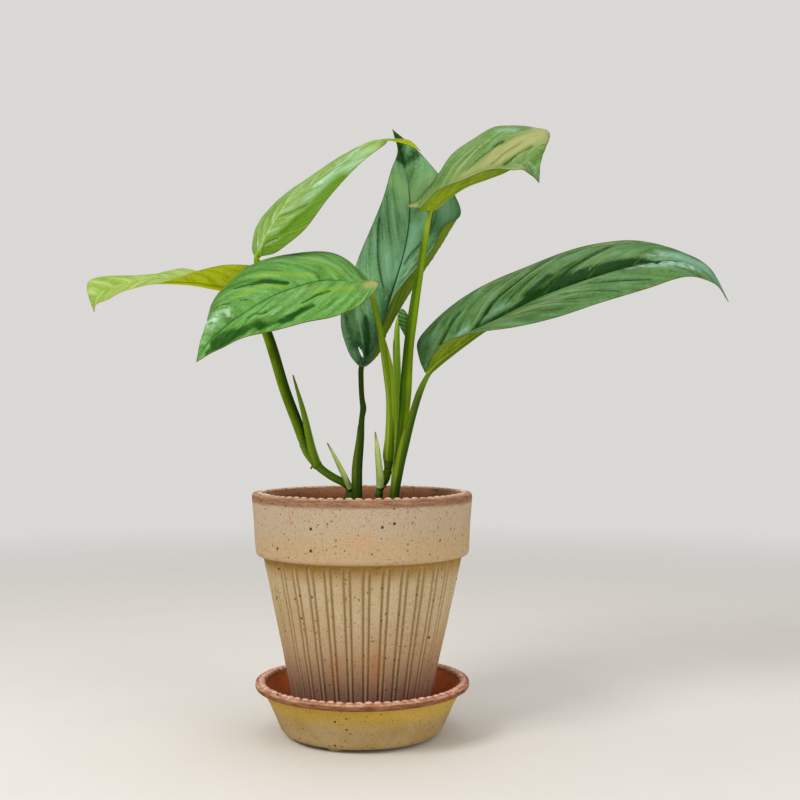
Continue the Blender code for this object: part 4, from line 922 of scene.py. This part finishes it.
def make_blade(name, leaf, finishes):
    """Adds a leaf's two-sided blade. Returns its middle row of points, with their normals."""
    steps = np.linspace(0, 1, HALF_COLUMNS + 1) ** COLUMN_CROWDING
    columns = np.concatenate([-steps[:0:-1], steps])
    u, v = np.meshgrid(np.linspace(0, 1, BLADE_ROWS + 1)[:-1], columns, indexing="ij")
    round_base = np.sqrt(np.clip(1 - (1 - np.clip(u / leaf.get("rounded", 0.05), 0, 1)) ** 2, 0.0, 1))
    v_used = v * (0.25 + 0.75 * round_base)
    points = blade_surface(leaf, u, v_used)
    rib = from_midrib(points)
    width = np.where(v < 0, rib[:, :1], rib[:, -1:])
    edge = np.minimum(BLADE_LENGTH * u + 0.4 * rib, 2 * BLADE_LENGTH * (1 - u))
    edge = np.maximum(np.minimum(width - rib, edge), 0.0)
    phase = vein_phase(leaf, u, v_used)
    apart = np.abs((phase + 0.5) % 1.0 - 0.5) * 2
    body = smooth(rib, 0.8, 5.0) * smooth(edge, 0.3, 4.0) * smooth(1 - u, 0.0, 0.25)

    # Relief: the pleats at the side veins, their branches, waves, unevenness, midrib and marks
    relief = leaf["swell"] * (np.sin(apart * math.pi / 2) ** 0.7 - 0.62) * body
    relief += BRANCH_HEIGHT * np.cos(TURN * BRANCHES * phase) * body
    waves = ripple(np.stack([u, v], -1) * WAVE_SPREAD, WAVE_SIZE, leaf["seed"], 7)
    relief += leaf.get("waves", WAVE_HEIGHT) * waves * smooth(rib, 2, 16)
    relief += ripple(points, UNEVEN_SIZE, leaf["seed"] + 9, 14) * UNEVEN_HEIGHT * body
    first, last = leaf.get("rib_seen", (-1.0, 2.0))
    ribbed = smooth(u, first - 0.04, first + 0.04) * smooth(-u, -last - 0.06, -last + 0.02)
    groove = leaf.get("groove", GROOVE_DEPTH) * (0.25 + 0.75 * ribbed)
    relief -= groove * bell(rib, GROOVE_WIDTH) * smooth(1 - u, 0.0, 0.15)
    marks, masks = marked(leaf, points, v)
    points = points + grid_normals(points) * (relief + marks)[..., None]
    normals = grid_normals(points)
    keel = leaf["neck"] * 0.55 * (1 - u) ** 1.5 + 0.15
    below = keel * bell(rib, keel * 1.2) + SIDE_RIB * bell(apart, SIDE_RIB_WIDTH) * body
    half = BLADE_HALF * (0.55 + 0.45 * smooth(edge, 0, 1.5))
    upper = points + normals * half[..., None]
    lower = points - normals * (half + below)[..., None]

    # Both faces, each with a fan to its own tip, and a wall along their open edges
    count = len(columns)
    total = BLADE_ROWS * count
    up_tip, last = 2 * total, total - count
    tip = np.array([leaf["midrib"][-1]], float)
    faces = grid_faces(BLADE_ROWS, count)
    if "hole" in leaf:
        places = np.stack([u.ravel(), v.ravel()], -1)
        faces = [face for face in faces if not in_hole(leaf, *places[list(face)].mean(0))]
    faces += [(last + j, last + j + 1, up_tip) for j in range(count - 1)]

    def under(k):
        return up_tip + 1 if k == up_tip else k + total

    lower_faces = [tuple(under(k) for k in reversed(face)) for face in faces]
    wall = [(b, a, under(a), under(b)) for a, b in open_edges(faces)]
    kinds = np.repeat([0, 1], [len(faces), len(lower_faces) + len(wall)])
    flat = [upper.reshape(-1, 3), lower.reshape(-1, 3), tip + 0.1, tip - 0.1]
    values = {**masks, "vein": phase, "rib": rib, "edge": edge, "ribbed": ribbed}
    values = {key: np.concatenate([amounts.ravel(), amounts.ravel(), [0.0, 0.0]])
              for key, amounts in values.items()}
    values["vein"][-2:] = leaf["veins"]
    shape = np.vstack(flat), faces + lower_faces + wall, values
    add_piece(name + "_blade", name, leaf["slot"], shape, finishes, face_finish=kinds)
    return points[:, HALF_COLUMNS], normals[:, HALF_COLUMNS]


# Petioles and stems

def tube(path, rings, relief=None, **whole):
    """A stem's skin along (x, y, z, radius) points: points, faces, and values at its points."""
    samples = curve(path, np.linspace(0, 1, rings + 1))
    centres, radii = samples[:, :3], samples[:, 3]
    ahead = unit(np.gradient(centres, axis=0))
    front = np.array([0.0, -1.0, 0.0])
    turns = np.linspace(0, TURN, STEM_SIDES, endpoint=False)
    points = np.zeros((rings + 1, STEM_SIDES, 3))
    run = np.concatenate([[0], np.cumsum(steps_along(centres))])
    values = {key: np.full((rings + 1, STEM_SIDES), float(whole.get(key, 0))) for key in STALK_VALUES}
    values["side"][:] = np.sin(turns)
    for i, (centre, way) in enumerate(zip(centres, ahead)):
        front = unit(front - way * (front @ way))
        right = np.cross(way, front)
        radius = np.full(STEM_SIDES, radii[i])
        if relief:
            radius, found = relief(radius, turns, centre, run[i] / run[-1])
            for key, amounts in found.items():
                values[key][i] = amounts
        points[i] = centre + np.outer(np.cos(turns) * radius, front)
        points[i] += np.outer(np.sin(turns) * radius, right)
    ends = [centres[0] - ahead[0] * radii[0] * 0.2, centres[-1] + ahead[-1] * radii[-1] * 0.6]
    values = {key: np.append(v, [v[0].mean(), v[-1].mean()]) for key, v in values.items()}
    return *skin(points, ends), values


def sheathed(bottom, top, blade_from=2.0):
    """A round stalk. A sheath wraps its left side from its foot and ends in a point at height top.

    From the share blade_from of its length on, the stalk is the keel under a blade.
    """
    def relief(radius, turns, centre, share):
        side = np.sin(turns)
        up = max(0.0, (centre[2] - bottom) / (top - bottom))
        reach = math.sqrt(1 - up ** 2) - 1.02 if up < 1 else -3.0
        wrapped = smooth(reach - side, -0.05, 0.05)
        seam = bell(side - reach, 0.1)
        made = radius * (1 + 0.012 * np.cos(9 * turns)) + 0.3 * wrapped - 0.2 * seam
        tip = wrapped * smooth(up, 0.86, 1.0)
        keel = smooth(share, blade_from - 0.03, blade_from + 0.05)
        return made, {"sheath": wrapped, "seam": seam, "tip": tip, "keel": keel}
    return relief


def tapered():
    """A pointed sheath, pale along its margins and dry at its tip."""
    def relief(radius, turns, centre, share):
        edge = bell(np.cos(turns - 1.2) - 1, 0.04)
        made = radius * (1 + 0.03 * np.cos(11 * turns)) + 0.2 * edge * (1 - share)
        return made, {"sheath": 0.8 * edge + 0.3, "tip": smooth(share, 0.8, 1.0)}
    return relief


def jointed(rings):
    """A bare stem with nodes: each ring is (share of its length, reach, height of the swelling)."""
    def relief(radius, turns, centre, share):
        made = radius * (1 + 0.02 * np.cos(7 * turns))
        dark = 0.0
        for at, reach, swelling in rings:
            scar = bell(share - at - 1.5 * reach, 0.5 * reach)
            made = made + swelling * (bell(share - at, reach) - 0.6 * scar)
            dark = max(dark, scar)
        return made, {"ring": dark}
    return relief


def make_stalk(name, leaf, spine, up):
    """Adds a leaf's petiole, which runs on as the midrib's thick underside, and what stands by it."""
    stalk, *others = leaf["stalks"]
    path = list(stalk)
    for share in KEEL_SHARES:
        row = round(share * BLADE_ROWS)
        radius = leaf["neck"] * (1 - share) ** 1.3 + 0.05
        path.append((*(spine[row] - up[row] * (0.3 + 0.3 * share + radius)), radius))
    steps = steps_along(np.array(path)[:, :3])
    blade_from = steps[:len(stalk) - 1].sum() / steps.sum()
    parts = [tube(path, 10 * len(path), sheathed(*leaf["sheath"], blade_from))]
    for other in others:
        pointed = other[-1][3] < 1
        parts.append(tube(other, 10 * len(other), tapered() if pointed else sheathed(*leaf["sheath"])))
    add_piece(name + "_stalk", name, leaf["slot"], join(parts), [stem_finish(*leaf["stalk"])])


def make_stem(name, finish, rings):
    reliefs = {"crown": jointed([]), "internode": jointed(rings), "cataphyll": tapered(),
               "sheath": tapered(), "root": None}
    parts = []
    for kind, path in STEMS[name]:
        count = 20 if kind == "root" else 12 * len(path)
        parts.append(tube(path, count, reliefs[kind], pale=kind == "cataphyll", tip=kind == "root"))
    add_piece(name + "_skin", name, "stem", join(parts), [finish])


def make_young_leaf(top, stalk_finish):
    """The youngest leaf, still rolled up, its pleats running slantwise round the roll."""
    start, axis = np.array(YOUNG_TOP), np.subtract(YOUNG_TIP, YOUNG_TOP)
    ahead, front = unit(axis), np.array([0, -1.0, 0])
    side = unit(front - ahead * (ahead @ front))
    shares = np.linspace(0, 1, YOUNG_RINGS + 1)
    radii = curve([(p,) for p in YOUNG_PROFILE], shares) * YOUNG_RADIUS
    s, t = np.meshgrid(shares, np.linspace(0, TURN, YOUNG_SIDES, endpoint=False), indexing="ij")
    pleat = (t / TURN * 4 + s * 7) % 1.0
    roll = (t / TURN - 0.25 * s + 0.1) % 1.0
    radius = radii * (0.93 + 0.10 * np.sin(pleat * math.pi) + 0.08 * roll)
    points = start + axis * s[..., None] + side * (np.cos(t) * radius)[..., None]
    points = points + np.cross(ahead, side) * (np.sin(t) * radius)[..., None]
    shape = skin(points, [start - ahead * 0.4, YOUNG_TIP + ahead * 0.6])
    flat = np.zeros(len(shape[0]))
    values = {**dict.fromkeys((*MASKS, "ribbed"), flat), "rib": flat + 9.0, "edge": flat + 9.0}
    # Painted shade in the pleats' valleys and painted sheen on their crests
    for key, amounts in (("deep", 1 - smooth(pleat, 0.15, 0.5)), ("vein", pleat),
                         ("milky", smooth(pleat, 0.6, 0.9) * 0.6)):
        values[key] = np.append(amounts, [0, 0])
    add_piece("leaf_young_roll", "leaf_young", "leaf_mid", (*shape, values), [top])
    stalk = tube(YOUNG_STALK, 90, sheathed(150, 250))
    add_piece("leaf_young_stalk", "leaf_young", "leaf_mid", stalk, [stalk_finish])


# Clay

def soften(profile, radius, steps=4):
    """A profile with each inner corner rounded to about that radius."""
    profile = [np.array(p, float) for p in profile]
    made = [profile[0]]
    for before, corner, after in zip(profile, profile[1:], profile[2:]):
        start, end = (corner + way * min(0.5, radius / np.linalg.norm(way))
                      for way in (before - corner, after - corner))
        for t in np.linspace(0, 1, steps + 1):
            made.append(start * (1 - t) ** 2 + corner * (2 * t * (1 - t)) + end * t ** 2)
    return made + [profile[-1]]


def divided(profile, longest):
    """The same profile with no stretch longer than a given length."""
    made = [profile[0]]
    for a, b in zip(profile, profile[1:]):
        pieces = max(1, math.ceil(np.linalg.norm(b - a) / longest))
        made += [a + (b - a) * (i / pieces) for i in range(1, pieces + 1)]
    return np.array(made)


def flute_depth(angle):
    """0 on the ribs and 1 in the grooves, with a broad rib and a narrow rib in each repeat."""
    reach = np.abs(((angle - FLUTE_TURN) * FLUTES / TURN + 0.5) % 1.0 - 0.5)
    return np.where(reach < 0.34, smooth(reach, 0.20, 0.33), 1 - 0.8 * smooth(reach, 0.35, 0.45))


def bead_rise(angle, away):
    """A bead's height at an angle round the rim and a distance from the circle of beads."""
    along = np.abs((angle * BEADS / TURN + 0.5) % 1.0 - 0.5) * 2
    return np.clip(1 - (along / 0.92) ** 2 - (away / BEAD_SPREAD) ** 2, 0, 1) ** 0.5


def make_clay(node, finish, outside, inside, bead_circle, bead_level, lengths, relief, seed, ends=None):
    """Adds a turned body: up its outside profile, over a ledge of beads, and down its inside.

    lengths are the longest stretch outside, the bend of the inside's corners and its longest stretch.
    relief gives how far the points move outward, and how much each lies in a groove.
    """
    beads = [(bead_circle + BEAD_SPREAD * k, bead_level + 0.1 * k) for k in BEAD_STEPS]
    outer = divided(soften(outside, 0.9), lengths[0])
    inner = divided(soften([beads[-1]] + inside, lengths[1], 3), lengths[2])
    profile = np.vstack([outer, beads, inner[1:]])
    row = np.arange(len(profile))[:, None]
    angle = np.linspace(0, TURN, AROUND, endpoint=False) + FLUTE_TURN + 0.0 * row
    radius, height = profile[:, :1] + 0.0 * angle, profile[:, 1:] + 0.0 * angle
    way = turned(angle, radius, height)
    out, hollow = relief(way, angle, radius, height, row - len(outer))
    beaded = (row >= len(outer)) & (row < len(outer) + len(beads))
    worn = 0.85 + 0.12 * ripple(way, 9.0, seed)
    height = height + BEAD_HEIGHT * worn * bead_rise(angle, radius - bead_circle) * beaded
    points, faces = skin(turned(angle, radius + out, height), ends)
    inward = (row >= len(outer) + len(beads)) + 0.0 * angle
    at_ends = np.zeros(len(points) - angle.size)
    values = {"hollow": np.append(hollow, at_ends), "inner": np.append(inward, at_ends)}
    add_piece(node + "_clay", node, node + "_clay", (points, faces, values), [finish], sharp=50)


def make_pot(finish):
    outside = [(DRAIN_RADIUS, POT_BOTTOM), (BODY_BOTTOM_RADIUS - 3.2, POT_BOTTOM),
               (BODY_BOTTOM_RADIUS, POT_BOTTOM + 0.6), (BODY_TOP_RADIUS, BODY_TOP), (64.0, 113.6),
               (66.6, 114.0), (COLLAR_BOTTOM_RADIUS, COLLAR_BOTTOM + 1.0), (69.5, 144.0),
               (RIM_RADIUS, 150.8), (RIM_RADIUS - 0.8, RIM_HEIGHT)]
    inside = [(62.0, 149.5), (60.2, 118.0), (54.8, 104.0), (37.4, 15.0), (34.6, POT_FLOOR),
              (DRAIN_RADIUS, POT_FLOOR)]

    def relief(way, angle, radius, height, row):
        body = smooth(height, POT_BOTTOM + 0.3, POT_BOTTOM + 2.0) * smooth(BODY_TOP - height, 0.0, 1.5)
        fluted = (row < 0) & (height < BODY_TOP) & (radius > BODY_BOTTOM_RADIUS - 1.0)
        hollow = flute_depth(angle) * body * fluted
        out = 0.16 * ripple(way, 14.0, 21) * (row < -2) + 0.25 * ripple(way, 60.0, 22)
        return out - FLUTE_DEPTH * hollow, hollow

    make_clay("pot", finish, outside, inside, POT_BEAD_RADIUS, RIM_HEIGHT - 0.35, (5.0, 1.0, 9.0),
              relief, 23)


def make_saucer(finish):
    outside = [(20.0, SAUCER_UNDERSIDE), (46.5, 1.8), (49.6, 2.6), (51.6, 4.6), (53.4, 9.0),
               (57.9, 19.0), (62.9, 28.6), (67.0, 30.0), (SAUCER_RADIUS, 31.8),
               (SAUCER_RADIUS - 0.6, LIP_TOP - 0.2)]
    inside = [(59.6, 29.0), (54.6, 19.5), (50.0, 9.6), (47.0, SAUCER_FLOOR), (20.0, SAUCER_FLOOR)]

    def relief(way, angle, radius, height, row):
        uneven = 0.18 * ripple(way, 13.0, 31) + 0.25 * ripple(way, 50.0, 32)
        return uneven * (height > 3), 0.0 * angle

    make_clay("saucer", finish, outside, inside, SAUCER_BEAD_RADIUS, LIP_TOP - 0.4, (2.5, 1.2, 5.0),
              relief, 33, [(0, 0, SAUCER_UNDERSIDE), (0, 0, SAUCER_FLOOR)])
    radii = np.array([0.9, 0.25, 0.0, 0.0])[:, None]
    heights = np.array([0.0, 0.25, 0.9, FOOT_HEIGHT])[:, None]
    pad = turned(np.linspace(0, TURN, FOOT_SIDES, endpoint=False), FOOT_RADIUS - radii, heights)
    parts = []
    for i in range(FEET):
        middle = turned(FOOT_TURN + TURN * i / FEET, FOOT_CIRCLE, 0.0)
        points, faces = skin(pad + middle, [middle, middle + (0, 0, FOOT_HEIGHT)])
        parts.append((points, faces, dict.fromkeys(("hollow", "inner"), np.zeros(len(points)))))
    add_piece("saucer_feet", "saucer", "saucer_clay", join(parts), [finish], sharp=50)


# Soil

def heaped(x, y):
    """The height of the soil's heaps, as in the frame."""
    wave = np.sin(x * 0.33 + 1.1) * np.cos(y * 0.29 - 0.4) + 0.6 * np.sin(x * 0.71 - y * 0.53)
    return HEAP_HEIGHT * wave


def make_soil(finish):
    turns = np.linspace(0, TURN, SOIL_SIDES, endpoint=False)
    side = turned(turns, *np.array(SOIL_SIDE).T[..., None])
    top = turned(turns, np.linspace(0.4, SOIL_RADIUS, SOIL_RINGS)[::-1, None], SOIL_LEVEL)
    flat = top[..., :2]
    top[..., 2] += heaped(flat[..., 0], flat[..., 1])
    top[..., 2] += 0.5 * ripple(flat, 3.0, 41) + 0.3 * ripple(flat, 1.4, 42)
    points, faces = skin(np.vstack([side, top]), [(0, 0, SOIL_BOTTOM), (0, 0, SOIL_LEVEL)])
    shade = np.append(0.5 + 0.5 * ripple(points[:-2], 5.0, 43), [0.5, 0.5])
    parts = [(points, faces, {"shade": shade})]
    random = np.random.default_rng(SEED)
    ball = bmesh.new()
    bmesh.ops.create_icosphere(ball, subdivisions=1, radius=1.0)
    shape = np.array([v.co for v in ball.verts])
    ball_faces = [tuple(v.index for v in face.verts) for face in ball.faces]
    ball.free()
    for _ in range(CRUMBS):
        far = (SOIL_RADIUS - 2.5) * math.sqrt(random.uniform())
        middle = turned(random.uniform(0, TURN), far, SOIL_LEVEL)
        size = random.uniform(0.5, 1.2) if random.uniform() < 0.85 else random.uniform(1.2, 2.3)
        lump = shape * random.uniform(0.7, 1.3, size=(len(shape), 1)) * random.uniform(0.6, 1.3, size=3)
        middle[2] += heaped(*middle[:2]) + 0.2 * size
        parts.append((lump * size + middle, ball_faces, {"shade": np.full(len(shape), random.uniform())}))
    add_piece("soil_crumbs", "soil", "soil", join(parts), [finish], sharp=40)


# Floor, light and camera

def make_floor():
    """A pale disc whose far part fades into the pale room, so that no edge shows."""
    f = Finish("pale_floor", 0.2)
    f.colour = f.mix(f.noise(60.0), (226, 223, 217), (231, 228, 223))
    f.done(f.span(f.noise(8.0), 0.3, 0.7, 0.7, 0.85))
    faded, clear = f.span(f.far(f.place), *FLOOR_FADE), f.node("BsdfTransparent").outputs[0]
    blend = f.node("MixShader", {0: faded, 1: f.shader.outputs[0], 2: clear})
    f.feed(f.tree.nodes["Material Output"].inputs["Surface"], blend.outputs[0])
    ring = turned(np.linspace(0, TURN, FLOOR_SIDES, endpoint=False), FLOOR_FADE[1], 0.0)
    fan = [(0, 1 + k, 1 + (k + 1) % FLOOR_SIDES) for k in range(FLOOR_SIDES)]
    add_mesh("floor", (np.vstack([[(0, 0, 0)], ring]), fan, {}), [f.made])


def area_light(name, place, size, power, colour=(1, 1, 1)):
    lamp = bpy.data.lights.new(name, "AREA")
    lamp.size = size * MM
    lamp.energy = power
    lamp.color = colour
    made = bpy.data.objects.new(name, lamp)
    made.location = Vector(place) * MM
    made.rotation_mode = "QUATERNION"
    made.rotation_quaternion = (Vector(LIGHT_TARGET) - Vector(place)).to_track_quat("-Z", "Y")
    bpy.context.scene.collection.objects.link(made)


def make_light():
    world = bpy.data.worlds.new("pale_room")
    bpy.context.scene.world = world
    world.use_nodes = True
    nodes, links = world.node_tree.nodes, world.node_tree.links
    ground = nodes["Background"]
    ground.inputs["Color"].default_value = (1.0, 0.985, 0.96, 1.0)
    rays = nodes.new("ShaderNodeLightPath")
    mirrored, seen = nodes.new("ShaderNodeMapRange"), nodes.new("ShaderNodeMapRange")
    mirrored.inputs["To Min"].default_value = ROOM_LIGHT
    mirrored.inputs["To Max"].default_value = ROOM_MIRRORED
    seen.inputs["To Max"].default_value = ROOM_SEEN
    for outlet, inlet in ((rays.outputs["Is Glossy Ray"], mirrored.inputs["Value"]),
                          (rays.outputs["Is Camera Ray"], seen.inputs["Value"]),
                          (mirrored.outputs[0], seen.inputs["To Min"]),
                          (seen.outputs[0], ground.inputs["Strength"])):
        links.new(outlet, inlet)
    area_light("key", (-860, -860, 1150), 620, 14.2, (1.0, 0.985, 0.96))
    area_light("fill", (950, -850, 550), 900, 5.9, (1.0, 0.98, 0.95))
    area_light("top", (0, 250, 1250), 800, 3.0)


def make_camera():
    made = bpy.data.cameras.new("camera")
    made.sensor_width = SENSOR
    made.lens = FOCAL_PIXELS * SENSOR / PHOTO_SIDE
    made.shift_y = (HORIZON_PIXEL - PHOTO_SIDE / 2) / PHOTO_SIDE
    made.clip_start, made.clip_end = 0.01, 20.0
    eye = bpy.data.objects.new("camera", made)
    eye.location = Vector(CAMERA_PLACE) * MM
    eye.rotation_euler = (math.radians(90), 0, 0)
    bpy.context.scene.collection.objects.link(eye)
    bpy.context.scene.camera = eye


def main():
    bpy.context.scene.view_settings.view_transform = "Standard"
    make_camera()
    make_floor()
    make_light()
    make_saucer(saucer_finish())
    make_pot(pot_finish())
    make_soil(soil_finish())
    looks = {name: leaf_finish(name, shades, **more) for name, (more, *shades) in BLADE_LOOKS.items()}
    for name, leaf in LEAVES.items():
        spine, up = make_blade(name, leaf, [looks[side] for side in leaf["faces"]])
        make_stalk(name, leaf, spine, up)
    green = stem_finish("stem_green", (122, 152, 36), (62, 92, 8), (122, 148, 28), foot=(150.0, 164.0))
    make_stem("stem_left", green, [(0.62, 0.02, 0.45), (0.93, 0.02, 0.25)])
    make_stem("stem_middle", green, [(0.55, 0.03, 0.3), (0.86, 0.02, 0.45)])
    young = stem_finish("stalk_young", (190, 230, 80), (150, 204, 50), (194, 230, 90))
    make_young_leaf(looks["leaf_mid_top"], young)


main()
